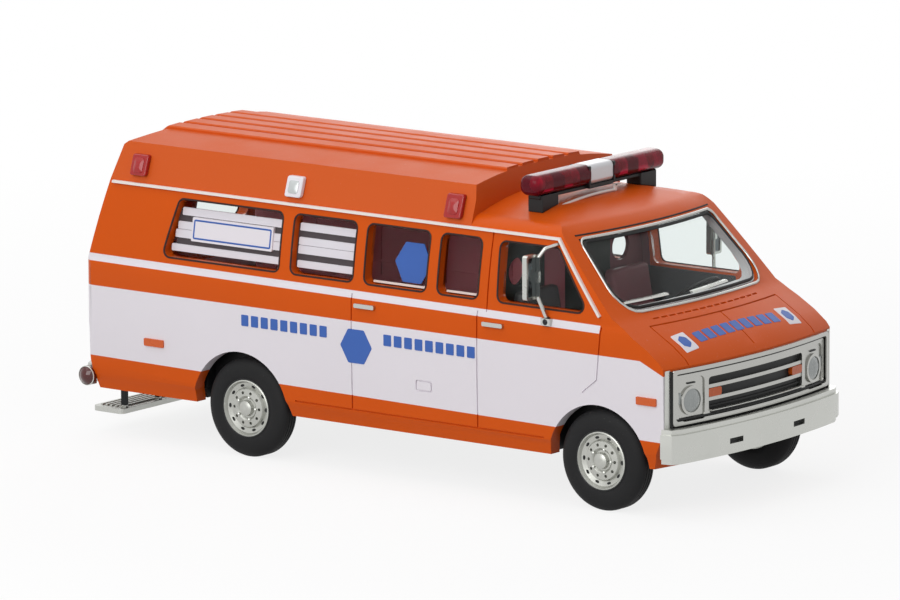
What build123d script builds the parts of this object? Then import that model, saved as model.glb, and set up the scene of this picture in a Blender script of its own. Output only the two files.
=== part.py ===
"""A 1:87 scale model of a long-wheelbase raised-roof van ambulance of the 1970s.

Millimetres, +X forward, +Y to the vehicle's left, +Z up.  The origin is on the floor under
the middle of the model's length.  Stations are counted from the middle of the wheelbase,
which lies MID ahead of the origin, because the rear overhang is the longer one.
"""
from build123d import *
from functools import cache
import os

# Driving dimensions
MID = 5.05                      # middle of the wheelbase, ahead of the origin
WHEELBASE = 37.1
TYRE_RADIUS = 4.2
TYRE_WIDTH = 2.1
WHEEL_FACE = 11.45              # outer face of a tyre, from the centre line
DISC_RADIUS = 2.45
AXLE_RADIUS = 0.5
RUNNING_FIT = 0.05
WALL = 1.15                     # thickness of the body moulding
ROOF_WALL = 0.9                 # thickness of the raised roof's moulding
SILL = 4.1                      # lower edge of the body
BELT = 15.4
RAIL_HEIGHT = 22.1              # where the raised roof stands on the body
NOSE = 26.2                     # front face of the body at the centre line
BOW_CENTRE = -34.0              # upright axis about which the nose and the screen are bowed
ROOF_FRONT = 4.6
WINDOW_LOW, WINDOW_HIGH = 16.2, 21.2
FLOOR_LOW, FLOOR_HIGH = 8.9, 9.5
PLATE_LOW, PLATE_HIGH = 4.3, 5.1

FRONT_AXLE = MID + WHEELBASE / 2
REAR_AXLE = MID - WHEELBASE / 2
REACH = 80.0                    # longer than the model, for cuts that go right through
SIDES = {"right": -1, "left": 1}

os.makedirs("parts", exist_ok=True)


def save(solid, name):
    """Give a finished piece its name and write it out."""
    solid.label = name
    export_step(solid, f"parts/{name}.step")
    print(f"{name:20s} {solid.volume:9.2f} mm3")


def at(station, height):
    """A point of the side view, its station counted from the middle of the wheelbase."""
    return (MID + station, height)


def flat_side():
    """The side view as a plane: drawing x is the model's x, drawing y is its height."""
    return Plane(origin=(0, 0, 0), x_dir=(1, 0, 0), z_dir=(0, -1, 0))


def flat_front():
    """The front view as a plane: drawing x is the model's y, drawing y is its height."""
    return Plane(origin=(0, 0, 0), x_dir=(0, 1, 0), z_dir=(1, 0, 0))


# The closed form of the body, used for its outside, its inside and all that follows its skin
@cache
def hull(grow=0.0):
    with BuildPart() as form:
        # Nose, bonnet, screen and roof line, turned about the bow's axis
        with BuildSketch(flat_side()):
            with BuildLine():
                Polyline(
                    at(BOW_CENTRE - 9, -9), at(24.9, -9), at(24.9, SILL), at(NOSE, 7.4), at(NOSE, 12.5),
                    at(25.85, 12.95), at(24.7, 13.85), at(21.7, 15.65), at(20.9, 16.1), at(15.25, 22.0),
                    at(14.4, 22.75),
                )
                ThreePointArc(at(14.4, 22.75), at(10.5, 23.75), at(4.6, 24.15))
                Polyline(at(4.6, 24.15), at(BOW_CENTRE - 9, 24.15), at(BOW_CENTRE - 9, -9))
            make_face()
            if grow:
                offset(amount=grow, kind=Kind.ARC if grow < 0 else Kind.INTERSECTION)
            with Locations(at(BOW_CENTRE + REACH / 2, 0)):
                Rectangle(REACH, 2 * REACH, mode=Mode.INTERSECT)
        revolve(axis=Axis((MID + BOW_CENTRE, 0, 0), (0, 0, 1)))
        # Cross-section with its crease at the sill, its belt and its tumblehome
        with BuildSketch(flat_front().offset(-REACH)):
            with BuildLine() as half:
                Line((0, -9), (11.1, -9))
                Polyline((11.1, -9), (11.2, SILL), (11.4, 5.0), (11.6, 5.4), (11.62, 7.0))
                ThreePointArc((11.62, 7.0), (11.7, 10.5), (11.68, 14.8))
                Line((11.68, 14.8), (11.5, BELT))
                ThreePointArc((11.5, BELT), (11.05, 18.9), (10.42, 22.0))
                ThreePointArc((10.42, 22.0), (9.9, 22.65), (9.0, 23.0))
                ThreePointArc((9.0, 23.0), (4.6, 23.9), (0, 24.15))
                mirror(about=Plane.YZ)
            make_face()
            if grow:
                offset(amount=grow, kind=Kind.ARC if grow < 0 else Kind.INTERSECTION)
        extrude(amount=2 * REACH, mode=Mode.INTERSECT)
        # Rear end with its belt shoulder and its lean above the belt
        with BuildSketch(flat_side()):
            with BuildLine():
                Polyline(
                    at(60, -9), at(-34.2, -9), at(-34.6, SILL), at(-35.35, 6.8), at(-35.5, 9.3),
                    at(-36.0, 10.2), at(-36.05, 14.8), at(-35.45, 15.5), at(-33.85, 22.1), at(-33.3, 24.0),
                    at(-33.0, 40), at(60, 40), close=True,
                )
            make_face()
            if grow:
                offset(amount=grow, kind=Kind.ARC if grow < 0 else Kind.INTERSECTION)
        extrude(amount=REACH, both=True, mode=Mode.INTERSECT)
        # Rounded corners of the plan
        with BuildSketch(Plane.XY.offset(-REACH)):
            with Locations((MID + (NOSE - 36.1) / 2, 0)):
                RectangleRounded(NOSE + 36.1 + 2 * grow, 2 * (11.75 + grow), 1.5 + grow)
        extrude(amount=2 * REACH, mode=Mode.INTERSECT)
    return form.part


# The form of the raised roof, with its rear lean and its raked front
@cache
def roof_form(grow=0.0):
    with BuildPart() as form:
        with BuildSketch(flat_side()):
            with BuildLine():
                Polyline(
                    at(-33.85, RAIL_HEIGHT - 6), at(-33.85, RAIL_HEIGHT), at(-33.1, 25.0), at(-31.5, 26.15),
                    at(-24.0, 26.6), at(-4.0, 26.6), at(4.15, 26.3), at(ROOF_FRONT, 24.1),
                    at(ROOF_FRONT, RAIL_HEIGHT - 6), close=True,
                )
            make_face()
            if grow:
                offset(amount=grow, kind=Kind.ARC if grow < 0 else Kind.INTERSECTION)
        extrude(amount=REACH, both=True)
        with BuildSketch(flat_front().offset(-REACH)):
            with BuildLine():
                Polyline((0, RAIL_HEIGHT - 6), (10.4, RAIL_HEIGHT - 6), (10.4, RAIL_HEIGHT), (9.35, 25.3))
                ThreePointArc((9.35, 25.3), (5.0, 25.85), (0, 26.0))
                mirror(about=Plane.YZ)
            make_face()
            if grow:
                offset(amount=grow, kind=Kind.ARC if grow < 0 else Kind.INTERSECTION)
        extrude(amount=2 * REACH, mode=Mode.INTERSECT)
    return form.part


@cache
def layer(form, inner, outer):
    """What lies between two grown copies of a form, as a part of its own."""
    with BuildPart() as shell:
        add(form(outer))
        add(form(inner), mode=Mode.SUBTRACT)
    return shell.part


# Side windows, each by its four stations: lower rear, upper rear, upper front, lower front
SIDE_WINDOWS = {
    "rear": (-27.5, -26.1, -14.9, -14.9),
    "middle": (-13.7, -13.7, -7.05, -7.05),
    "side_door": (-5.9, -5.95, 0.65, 0.6),
    "side_door_front": (1.75, 1.75, 6.0, 6.0),
    "cab": (8.0, 7.8, 13.75, 17.4),
}
CORNER = 0.6                    # corner radius of a window


def window_outlines():
    """Draw the side windows in the side view."""
    for low_rear, high_rear, high_front, low_front in SIDE_WINDOWS.values():
        with BuildSketch(flat_side(), mode=Mode.PRIVATE) as pane:
            with BuildLine():
                Polyline(
                    at(low_rear, WINDOW_LOW), at(high_rear, WINDOW_HIGH), at(high_front, WINDOW_HIGH),
                    at(low_front, WINDOW_LOW), close=True,
                )
            make_face()
            fillet(pane.vertices(), CORNER)
        add(pane.sketch)


# Stations from which the cuts of the front view start: behind the model, in the cab and in the nose
BEHIND, IN_CAB, IN_NOSE = -40, 12, 22

# Openings seen from the front: half widths at the foot and at the head, and heights
SCREEN = {"foot": 10.05, "head": 9.1, "low": 16.25, "high": 21.8, "foot_corner": 1.7, "head_corner": 0.7}
REAR_DOOR_GLASS = {"inner": 0.9, "outer": 8.3, "low": WINDOW_LOW, "high": WINDOW_HIGH}


@cache
def side_panes():
    """Prisms right across the body through every side window."""
    with BuildPart() as prisms:
        with BuildSketch(flat_side()):
            window_outlines()
        extrude(amount=REACH, both=True)
    return prisms.part


def screen_prism():
    """The windscreen's opening, carried along the body from ahead of the cab."""
    with BuildPart() as prism:
        with BuildSketch(flat_front().offset(MID + IN_CAB)) as outline:
            with BuildLine():
                Polyline(
                    (-SCREEN["foot"], SCREEN["low"]), (-SCREEN["head"], SCREEN["high"]),
                    (SCREEN["head"], SCREEN["high"]), (SCREEN["foot"], SCREEN["low"]), close=True,
                )
            make_face()
            lower, upper = outline.vertices().group_by(Axis.Y)
            fillet(lower, SCREEN["foot_corner"])
            fillet(upper, SCREEN["head_corner"])
        extrude(amount=20)
    return prism.part


def rear_prisms():
    """The openings of the two rear door windows."""
    glass = REAR_DOOR_GLASS
    width, height = glass["outer"] - glass["inner"], glass["high"] - glass["low"]
    with BuildPart() as prism:
        with BuildSketch(flat_front().offset(MID + BEHIND)):
            for side in SIDES.values():
                with Locations((side * (glass["inner"] + width / 2), glass["low"] + height / 2)):
                    RectangleRounded(width, height, CORNER)
        extrude(amount=10)
    return prism.part


# Wheel arches in the side view: two flanks, and an arc through the crown between their upper ends
ARCHES = {
    "rear": {"flank": [(-24.05, 0), (-23.95, 5.2)], "crown": (-19.3, 9.0),
             "end": [(-14.2, 5.6), (-13.5, 3.6), (-13.4, 0)]},
    "front": {"flank": [(13.2, 0), (13.35, 4.2)], "crown": (18.2, 8.85),
              "end": [(23.3, 4.6), (23.6, 0)]},
}


def arch_prisms():
    """Prisms right across the body through the wheel arches."""
    with BuildPart() as prisms:
        with BuildSketch(flat_side()):
            for arch in ARCHES.values():
                with BuildLine():
                    Polyline([at(*point) for point in arch["flank"]])
                    ThreePointArc(at(*arch["flank"][-1]), at(*arch["crown"]), at(*arch["end"][0]))
                    Polyline([at(*point) for point in arch["end"] + arch["flank"][:1]])
                make_face()
        extrude(amount=REACH, both=True)
    return prisms.part


def front_box(y, height, wide, tall, start, length, radius=0.2):
    """A rounded box of the front view that runs forward from a station."""
    with BuildPart() as prism:
        with BuildSketch(flat_front().offset(MID + start)):
            with Locations((y, height)):
                RectangleRounded(wide, tall, radius)
        extrude(amount=length)
    return prism.part


def block(station, y, height, length, wide, tall):
    """A plain block by its middle and its three sizes."""
    with BuildPart() as solid:
        with Locations((MID + station, y, height)):
            Box(length, wide, tall)
    return solid.part


def across(station, height, length, tall, radius=0.2):
    """A rounded box of the side view carried right across the model."""
    with BuildPart() as prism:
        with BuildSketch(flat_side()):
            with Locations(at(station, height)):
                RectangleRounded(length, tall, radius)
        extrude(amount=REACH, both=True)
    return prism.part


# Chrome face of the nose: frame, lamp wells and grille opening, in the front view
FACE = {"half": 10.9, "low": 7.75, "high": 12.35, "depth": 0.55, "proud": 0.05}
FACE_RIM = {"width": 0.34, "proud": 0.28, "gap": 0.14}
LAMP_WELL = {"y": 8.55, "z": 9.75, "width": 3.0, "height": 3.5}
HEADLAMP = {"radius": 0.98, "rim": 0.24, "height": 9.6}
GRILLE = {"half": 6.55, "low": 8.45, "high": 11.25}
SIGNAL = {"y": 5.75, "z": 9.925, "width": 1.6, "height": 0.7}


def face_prism(half, low, high, radius=0.3):
    """A rounded box of the front view, carried ahead of the nose."""
    with BuildPart() as prism:
        with BuildSketch(flat_front().offset(MID + IN_NOSE)):
            with Locations((0, (low + high) / 2)):
                RectangleRounded(2 * half, high - low, radius)
        extrude(amount=10)
    return prism.part


# Door seams in the side view, each a run of stations and heights
SEAM_WIDTH, SEAM_DEPTH = 0.13, 0.14
SEAMS = {
    "side_door_rear": [(-7.0, 15.3), (-7.0, 5.5)],
    "side_door_front": [(6.1, 15.3), (6.1, 5.5)],
    "pillar": [(7.0, 21.8), (7.0, 15.3)],
    "cab_door": [(18.75, 15.3), (18.35, 10.9), (16.9, 9.75)],
    "sill": [(-13.1, 5.5), (12.9, 5.5)],
}
FUEL_FLAP = {"station": 0.55, "height": 8.35, "length": 1.7, "tall": 0.95}
# Bonnet lines in the top view, measured from the bow's axis and the centre line
BONNET = {"rear": 22.35, "front": 25.75, "half": 8.8}
COWL_SLOTS = {"radius": 55.6, "count": 15, "span": 15.0, "length": 0.75, "width": 0.16}
REAR_DOORS = {"half": 9.6, "low": 6.3, "high": 21.8}
HINGES = {"y": 9.6, "heights": (8.4, 14.2, 20.2), "wide": 0.9, "tall": 0.5, "proud": 0.18}


def side_seams():
    """Prisms across the body along the door seams, the fuel flap's on the right side only."""
    with BuildPart() as prisms:
        with BuildSketch(flat_side()):
            for points in SEAMS.values():
                with BuildLine():
                    Polyline([at(*point) for point in points])
                trace(line_width=SEAM_WIDTH)
        extrude(amount=REACH, both=True)
        with BuildSketch(flat_side()):
            with Locations(at(FUEL_FLAP["station"], FUEL_FLAP["height"])):
                RectangleRounded(FUEL_FLAP["length"], FUEL_FLAP["tall"], 0.2)
                RectangleRounded(FUEL_FLAP["length"] - 2 * SEAM_WIDTH, FUEL_FLAP["tall"] - 2 * SEAM_WIDTH,
                                 0.1, mode=Mode.SUBTRACT)
        extrude(amount=REACH)
    return prisms.part


def rear_seams():
    """Prisms through the rear end along the outline of its two doors."""
    tall = REAR_DOORS["high"] - REAR_DOORS["low"]
    with BuildPart() as prisms:
        with BuildSketch(flat_front().offset(MID + BEHIND)):
            with Locations((0, REAR_DOORS["low"] + tall / 2)):
                RectangleRounded(2 * REAR_DOORS["half"], tall, 0.8)
                RectangleRounded(2 * (REAR_DOORS["half"] - SEAM_WIDTH), tall - 2 * SEAM_WIDTH, 0.7,
                                 mode=Mode.SUBTRACT)
                Rectangle(SEAM_WIDTH, tall)
        extrude(amount=9)
    return prisms.part


def bonnet_seams():
    """Prisms down through the bonnet's edges, its centre line and the slots of the cowl."""
    bow = (MID + BOW_CENTRE, 0)
    rear_radius = BONNET["rear"] - BOW_CENTRE
    with BuildPart() as prisms:
        with BuildSketch(Plane.XY.offset(BELT - 2.9)):
            with Locations(bow):
                Circle(rear_radius)
                Circle(rear_radius - SEAM_WIDTH, mode=Mode.SUBTRACT)
            with Locations((MID + BONNET["front"], 0)):
                Rectangle(10, 2 * BONNET["half"], mode=Mode.INTERSECT)
            for y in (-BONNET["half"], 0, BONNET["half"]):
                # Each line starts in the middle of the bowed line behind it
                start = (rear_radius ** 2 - y ** 2) ** 0.5 + BOW_CENTRE - SEAM_WIDTH / 2
                with Locations((MID + (start + BONNET["front"]) / 2, y)):
                    Rectangle(BONNET["front"] - start, SEAM_WIDTH)
            with Locations(bow):
                with PolarLocations(COWL_SLOTS["radius"], COWL_SLOTS["count"],
                                    start_angle=-COWL_SLOTS["span"] / 2, angular_range=COWL_SLOTS["span"]):
                    Rectangle(COWL_SLOTS["width"], COWL_SLOTS["length"])
        extrude(amount=6)
    return prisms.part


outside = hull()
inside = hull(-WALL)

# Body moulding, hollow and open below
with BuildPart() as body_shell:
    add(outside)
    add(inside, mode=Mode.SUBTRACT)
    with Locations((0, 0, SILL - 10)):
        Box(2 * REACH, 2 * REACH, 20, mode=Mode.SUBTRACT)
    with Locations((MID + ROOF_FRONT - REACH / 2, 0, RAIL_HEIGHT + 10)):
        Box(REACH, 2 * REACH, 20, mode=Mode.SUBTRACT)
    add(side_panes(), mode=Mode.SUBTRACT)
    add(screen_prism(), mode=Mode.SUBTRACT)
    add(rear_prisms(), mode=Mode.SUBTRACT)
    add(arch_prisms(), mode=Mode.SUBTRACT)
    add(face_prism(FACE["half"], FACE["low"], FACE["high"]) - hull(-FACE["depth"]), mode=Mode.SUBTRACT)
    for seams in (side_seams(), rear_seams(), bonnet_seams()):
        add(seams & layer(hull, -SEAM_DEPTH, 0.2), mode=Mode.SUBTRACT)
    for height in HINGES["heights"]:
        for side in SIDES.values():
            add(front_box(side * HINGES["y"], height, HINGES["wide"], HINGES["tall"], BEHIND, 9)
                & layer(hull, 0, HINGES["proud"]))
save(body_shell.part, "body_shell")

# Raised roof with four broad ribs along its top
RIB_BANDS = [(-5.0, -3.05), (-2.35, -0.4), (0.4, 2.35), (3.05, 5.0)]
RIB_HEIGHT = 0.28
with BuildPart() as raised_roof:
    add(roof_form())
    with BuildSketch(flat_side()):
        with BuildLine():
            Polyline(
                at(-33.6, 24.0), at(-33.1, 25.0), at(-31.5, 26.15), at(-24.0, 26.6), at(-4.0, 26.6),
                at(4.15, 26.3), at(ROOF_FRONT, 24.1), close=True,
            )
        make_face()
    ribs = extrude(amount=REACH, both=True, mode=Mode.PRIVATE)
    with BuildSketch(flat_front().offset(-REACH)):
        for start, end in RIB_BANDS:
            with BuildLine():
                Polyline((start, 25), (start, 26.0), (end, 26.0), (end, 25), close=True)
            make_face()
    bands = extrude(amount=2 * REACH, mode=Mode.PRIVATE)
    add(ribs & bands & roof_form(RIB_HEIGHT))
    add(roof_form(-ROOF_WALL), mode=Mode.SUBTRACT)
    with Locations((0, 0, RAIL_HEIGHT - 10)):
        Box(2 * REACH, 2 * REACH, 20, mode=Mode.SUBTRACT)
save(raised_roof.part, "raised_roof")


# Glass: the side and rear panes sit deep in their openings, and the screen nearly flush
SCREEN_SUNK, SCREEN_DEEP = 0.25, 0.6
PANE_SUNK, PANE_DEEP = 0.8, WALL
pane_layer = layer(hull, -PANE_DEEP, -PANE_SUNK)
half_space = {
    name: block(0, side * REACH / 2, 0, 2 * REACH, REACH, 2 * REACH) for name, side in SIDES.items()
}
for name in SIDES:
    with BuildPart() as panes:
        add(side_panes() & pane_layer & half_space[name])
    save(panes.part, f"glass_{name}")
with BuildPart() as windscreen:
    add(screen_prism() & layer(hull, -SCREEN_DEEP, -SCREEN_SUNK))
save(windscreen.part, "windscreen")
with BuildPart() as rear_glass:
    add(rear_prisms() & pane_layer)
save(rear_glass.part, "glass_rear")

# Inside of the cab and of the patient compartment, with the engine's cover between the cab seats
ENGINE_COVER = {"station": 15.2, "length": 8.0, "width": 4.6, "tall": 3.4}
CABINET = {"rear": -32.0, "front": 2.0, "inner": 6.6, "outer": 8.9, "high": 21.6}
BENCH = {"rear": -31.0, "front": -9.0, "inner": -9.4, "outer": -5.2, "high": 12.9}
DOOR_GROOVES = {"stations": (-25.0, -18.0, -11.0, -4.0), "middle": 17.0, "tall": 8.0, "rail": 14.2,
                "wide": 0.2, "deep": 0.3}
with BuildPart() as cabin_floor:
    add(block(0, 0, (FLOOR_LOW + FLOOR_HIGH) / 2, 2 * REACH, 2 * REACH, FLOOR_HIGH - FLOOR_LOW) & inside)
    with BuildSketch(Plane.XY.offset(FLOOR_HIGH)):
        with Locations((MID + ENGINE_COVER["station"], 0)):
            RectangleRounded(ENGINE_COVER["length"], ENGINE_COVER["width"], 0.8)
    extrude(amount=ENGINE_COVER["tall"], taper=6)
    # Tall cabinet along the left side and bench along the right side
    for unit in (CABINET, BENCH):
        with BuildSketch(Plane.XY.offset(FLOOR_HIGH)):
            with Locations((MID + (unit["rear"] + unit["front"]) / 2, (unit["inner"] + unit["outer"]) / 2)):
                RectangleRounded(unit["front"] - unit["rear"], unit["outer"] - unit["inner"], 0.4)
        extrude(amount=unit["high"] - FLOOR_HIGH)
    # Grooves between the cabinet's doors
    wide, deep = DOOR_GROOVES["wide"], DOOR_GROOVES["deep"]
    with Locations(*[(MID + station, CABINET["inner"], DOOR_GROOVES["middle"])
                     for station in DOOR_GROOVES["stations"]]):
        Box(wide, deep, DOOR_GROOVES["tall"], mode=Mode.SUBTRACT)
    with Locations((MID + (CABINET["rear"] + CABINET["front"]) / 2, CABINET["inner"],
                    DOOR_GROOVES["rail"])):
        Box(CABINET["front"] - CABINET["rear"] - 1.0, deep, wide, mode=Mode.SUBTRACT)
save(cabin_floor.part, "cabin_floor")

PARTITION_FRONT, PARTITION_REAR = 6.9, 6.5
PARTITION_HOLE = {"y": 7.1, "height": 18.0, "half_width": 1.2, "half_height": 1.15}
with BuildPart() as partition:
    add(block((PARTITION_FRONT + PARTITION_REAR) / 2, 0, FLOOR_HIGH + REACH / 2,
              PARTITION_FRONT - PARTITION_REAR, 2 * REACH, REACH) & inside)
    with BuildSketch(flat_front().offset(MID)):
        with Locations(*[(side * PARTITION_HOLE["y"], PARTITION_HOLE["height"]) for side in SIDES.values()]):
            Ellipse(PARTITION_HOLE["half_width"], PARTITION_HOLE["half_height"])
    extrude(amount=10, mode=Mode.SUBTRACT)
save(partition.part, "partition")

with BuildPart() as dashboard:
    with BuildSketch(flat_side()):
        with BuildLine():
            Polyline(at(17.2, 13.0), at(16.6, 14.2), at(17.0, 15.6), at(18.2, 16.0), at(30, 16.0),
                     at(30, 13.0), close=True)
        make_face()
    extrude(amount=REACH, both=True)
    add(inside, mode=Mode.INTERSECT)
save(dashboard.part, "dashboard")

STEERING = {"station": 15.9, "y": 5.4, "height": 15.6, "radius": 1.9, "rim": 0.17, "lean": -32,
            "spoke": 0.35, "thick": 0.24, "hub": 0.45, "column": 0.28, "column_length": 3.2}
with BuildPart() as steering_wheel:
    with BuildSketch(Plane.XZ):
        with Locations((STEERING["radius"], 0)):
            Circle(STEERING["rim"])
    revolve(axis=Axis.Z)
    with BuildSketch(Plane.XY.offset(-STEERING["thick"] / 2)):
        Rectangle(2 * STEERING["radius"], STEERING["spoke"])
        Circle(STEERING["hub"])
    extrude(amount=STEERING["thick"])
    with BuildSketch(Plane.XY):
        Circle(STEERING["column"])
    extrude(amount=-STEERING["column_length"])
wheel_place = Location((MID + STEERING["station"], STEERING["y"], STEERING["height"]),
                       (0, STEERING["lean"], 0))
placed_wheel = steering_wheel.part.moved(wheel_place) - dashboard.part
save(placed_wheel, "steering_wheel")

# Cab seats: cushion, back and head rest in one side outline
SEAT_Y, SEAT_WIDTH = 6.2, 5.2
SEAT_OUTLINE = [(8.1, FLOOR_HIGH), (8.1, 12.6), (7.6, 15.8), (7.7, 16.6), (8.6, 16.6), (9.2, 13.4),
                (13.2, 13.7), (13.5, 12.4), (12.6, 11.6), (12.2, FLOOR_HIGH)]
for name, side in SIDES.items():
    with BuildPart() as seat:
        with BuildSketch(flat_side().offset(-side * SEAT_Y - SEAT_WIDTH / 2)) as outline:
            with BuildLine():
                Polyline([at(*corner) for corner in SEAT_OUTLINE], close=True)
            make_face()
            fillet(outline.vertices().filter_by(lambda corner: corner.Y > FLOOR_HIGH + 1), 0.35)
        extrude(amount=SEAT_WIDTH)
        fillet(seat.faces().sort_by(Axis.Z)[-1].edges().filter_by(Axis.X), 0.4)
    save(seat.part, f"seat_{name}")

# Chassis moulding with its frame, wheel wells, axle tubes and running gear
# Wheel wells, and the tunnel round the axle that joins the two wells of a pair
WELL = {"inner": 8.95, "length": 10.4, "outer": 10.0, "wall": 0.5}
TUNNEL = {"length": 9.8, "half": 8.3, "middle": 6.4, "tall": 3.8}
AXLE_TUBE = {"radius": 0.8, "half": 8.2}
FRAME_RAIL = {"station": -5.0, "y": 4.9, "length": 52.0, "width": 1.0, "deep": 0.9}
CROSS_MEMBERS = {"stations": (-30.0, -9.0, 0.5, 10.0), "length": 0.9, "deep": 0.7}
# Rounded blocks under the plate: station, length, width, corner and depth
UNDER_BLOCKS = {
    "engine_sump": (13.4, 4.6, 3.4, 0.6, 1.5),
    "gearbox": (8.2, 4.4, 2.2, 0.5, 1.5),
    "fuel_tank": (-27.0, 5.6, 8.0, 0.8, 1.1),
}
with BuildPart() as chassis:
    add(block(-5, 0, (PLATE_LOW + PLATE_HIGH) / 2, 70, 2 * REACH, PLATE_HIGH - PLATE_LOW) & inside)
    for station in (-WHEELBASE / 2, WHEELBASE / 2):
        # A well round each pair of wheels, open outwards and below
        with Locations((MID + station, 0, (PLATE_LOW + FLOOR_LOW) / 2)):
            Box(WELL["length"] + 2 * WELL["wall"], 2 * WELL["outer"], FLOOR_LOW - PLATE_LOW)
        with Locations(*[(MID + station, side * (WELL["inner"] + REACH / 2), 5) for side in SIDES.values()]):
            Box(WELL["length"], REACH, 12, mode=Mode.SUBTRACT)
        with Locations((MID + station, 0, TUNNEL["middle"])):
            Box(TUNNEL["length"], 2 * TUNNEL["half"], TUNNEL["tall"], mode=Mode.SUBTRACT)
    add(inside, mode=Mode.INTERSECT)
    with Locations(*[(MID + FRAME_RAIL["station"], side * FRAME_RAIL["y"], PLATE_LOW - FRAME_RAIL["deep"] / 2)
                     for side in SIDES.values()]):
        Box(FRAME_RAIL["length"], FRAME_RAIL["width"], FRAME_RAIL["deep"])
    with Locations(*[(MID + station, 0, PLATE_LOW - CROSS_MEMBERS["deep"] / 2)
                     for station in CROSS_MEMBERS["stations"]]):
        Box(CROSS_MEMBERS["length"], 2 * FRAME_RAIL["y"], CROSS_MEMBERS["deep"])
    for station, length, width, corner, deep in UNDER_BLOCKS.values():
        with BuildSketch(Plane.XY.offset(PLATE_LOW)):
            with Locations((MID + station, 0)):
                RectangleRounded(length, width, corner)
        extrude(amount=-deep, taper=7)
    for station in (-WHEELBASE / 2, WHEELBASE / 2):
        with Locations(Location((MID + station, 0, TYRE_RADIUS), (90, 0, 0))):
            Cylinder(AXLE_TUBE["radius"], 2 * AXLE_TUBE["half"])
            Cylinder(AXLE_RADIUS + RUNNING_FIT, 4 * AXLE_TUBE["half"], mode=Mode.SUBTRACT)
save(chassis.part, "chassis")

# Exhaust pipe from the engine out past the left frame rail and back to the rear end
EXHAUST_ROUTE = [(8.0, 3.2), (4.5, 6.9), (-22.5, 6.9), (-35.3, 8.2)]
EXHAUST_HEIGHT, EXHAUST_RADIUS = 3.08, 0.32
with BuildPart() as exhaust:
    with BuildLine() as pipe:
        FilletPolyline(*[(MID + station, y, EXHAUST_HEIGHT) for station, y in EXHAUST_ROUTE], radius=1.5)
    with BuildSketch(Plane(origin=pipe.line @ 0, z_dir=pipe.line % 0)):
        Circle(EXHAUST_RADIUS)
    sweep()
save(exhaust.part, "exhaust")

# Half section of a wheel: radius and distance out from the tyre's inner face, then from its outer one
WHEEL_BACK = [(AXLE_RADIUS, 0.2), (1.0, 0.2), (1.0, 0.9), (2.05, 1.15), (2.2, 0.15), (DISC_RADIUS, 0.15)]
WHEEL_FRONT = [(DISC_RADIUS, -0.08), (2.3, -0.02), (2.15, -0.3), (1.75, -0.42), (1.6, -0.2), (1.05, -0.12),
               (0.85, -0.3), (0.7, -0.28), (0.62, 0.05), (0.35, 0.16), (0, 0.18)]
AXLE_SEAT = 1.2                 # how far an axle pin reaches into its wheel
DISC_HOLES = {"circle": 1.32, "count": 10, "radius": 0.13, "deep": 0.6}
# Half section of a tyre: radius and distance in from its face; the corners above SHOULDER are rounded
TYRE_SECTION = [(DISC_RADIUS, 0.15), (3.0, 0), (3.7, 0), (TYRE_RADIUS, 0.45)]
SHOULDER = 3.5


def turned_solid(section, side):
    """Turn a half section (radius, y) about the Y axis, mirrored for the right side."""
    with BuildPart() as solid:
        with BuildSketch(Plane.XY) as profile:
            with BuildLine():
                Polyline(section, close=True)
            make_face()
            if section[0][0] == DISC_RADIUS:
                fillet(profile.vertices().filter_by(lambda corner: corner.X > SHOULDER), 0.2)
        revolve(axis=Axis.Y)
    return solid.part if side > 0 else solid.part.mirror(Plane.XZ)


def wheel_solid(side):
    """A pressed steel wheel with its stepped rim, ring of holes and hub cap."""
    back = WHEEL_FACE - TYRE_WIDTH
    section = [(radius, back + y) for radius, y in WHEEL_BACK]
    section += [(radius, WHEEL_FACE + y) for radius, y in WHEEL_FRONT]
    section += [(0, back + AXLE_SEAT), (AXLE_RADIUS, back + AXLE_SEAT)]
    with BuildPart() as holes:
        with BuildSketch(Plane.XZ.offset(-side * (WHEEL_FACE - DISC_HOLES["deep"]))):
            with PolarLocations(DISC_HOLES["circle"], DISC_HOLES["count"]):
                Circle(DISC_HOLES["radius"])
        extrude(amount=-side * 2 * DISC_HOLES["deep"])
    return turned_solid(section, side) - holes.part


def tyre_solid(side):
    """A plain tyre with rounded shoulders, seated on its wheel."""
    inner, outer = WHEEL_FACE - TYRE_WIDTH, WHEEL_FACE
    section = [(radius, inner + y) for radius, y in TYRE_SECTION]
    section += [(radius, outer - y) for radius, y in reversed(TYRE_SECTION)]
    return turned_solid(section, side)


# Axles, wheels and tyres
for place, axle_x in {"front": FRONT_AXLE, "rear": REAR_AXLE}.items():
    centre = Location((axle_x, 0, TYRE_RADIUS))
    with BuildPart() as axle:
        with Locations(Location((axle_x, 0, TYRE_RADIUS), (90, 0, 0))):
            Cylinder(AXLE_RADIUS, 2 * (WHEEL_FACE - TYRE_WIDTH + AXLE_SEAT))
    save(axle.part, f"axle_{place}")
    for name, side in SIDES.items():
        save(wheel_solid(side).moved(centre), f"wheel_{place}_{name}")
        save(tyre_solid(side).moved(centre), f"tyre_{place}_{name}")

def lamp_discs(radius, inner=0.0):
    """Rods or tubes along the two headlamps."""
    with BuildPart() as rods:
        with BuildSketch(flat_front().offset(MID + IN_NOSE)):
            with Locations(*[(side * LAMP_WELL["y"], HEADLAMP["height"]) for side in SIDES.values()]):
                Circle(radius)
                if inner:
                    Circle(inner, mode=Mode.SUBTRACT)
        extrude(amount=10)
    return rods.part


def lamp_wells():
    """The two wells of the headlamps in the front view."""
    with BuildPart() as wells:
        with BuildSketch(flat_front().offset(MID + IN_NOSE)):
            with Locations(*[(side * LAMP_WELL["y"], LAMP_WELL["z"]) for side in SIDES.values()]):
                RectangleRounded(LAMP_WELL["width"], LAMP_WELL["height"], 0.5)
        extrude(amount=10)
    return wells.part


def face_inset(inset):
    """The face's rounded box with its edges drawn in."""
    return face_prism(FACE["half"] - inset, FACE["low"] + inset, FACE["high"] - inset)


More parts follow.
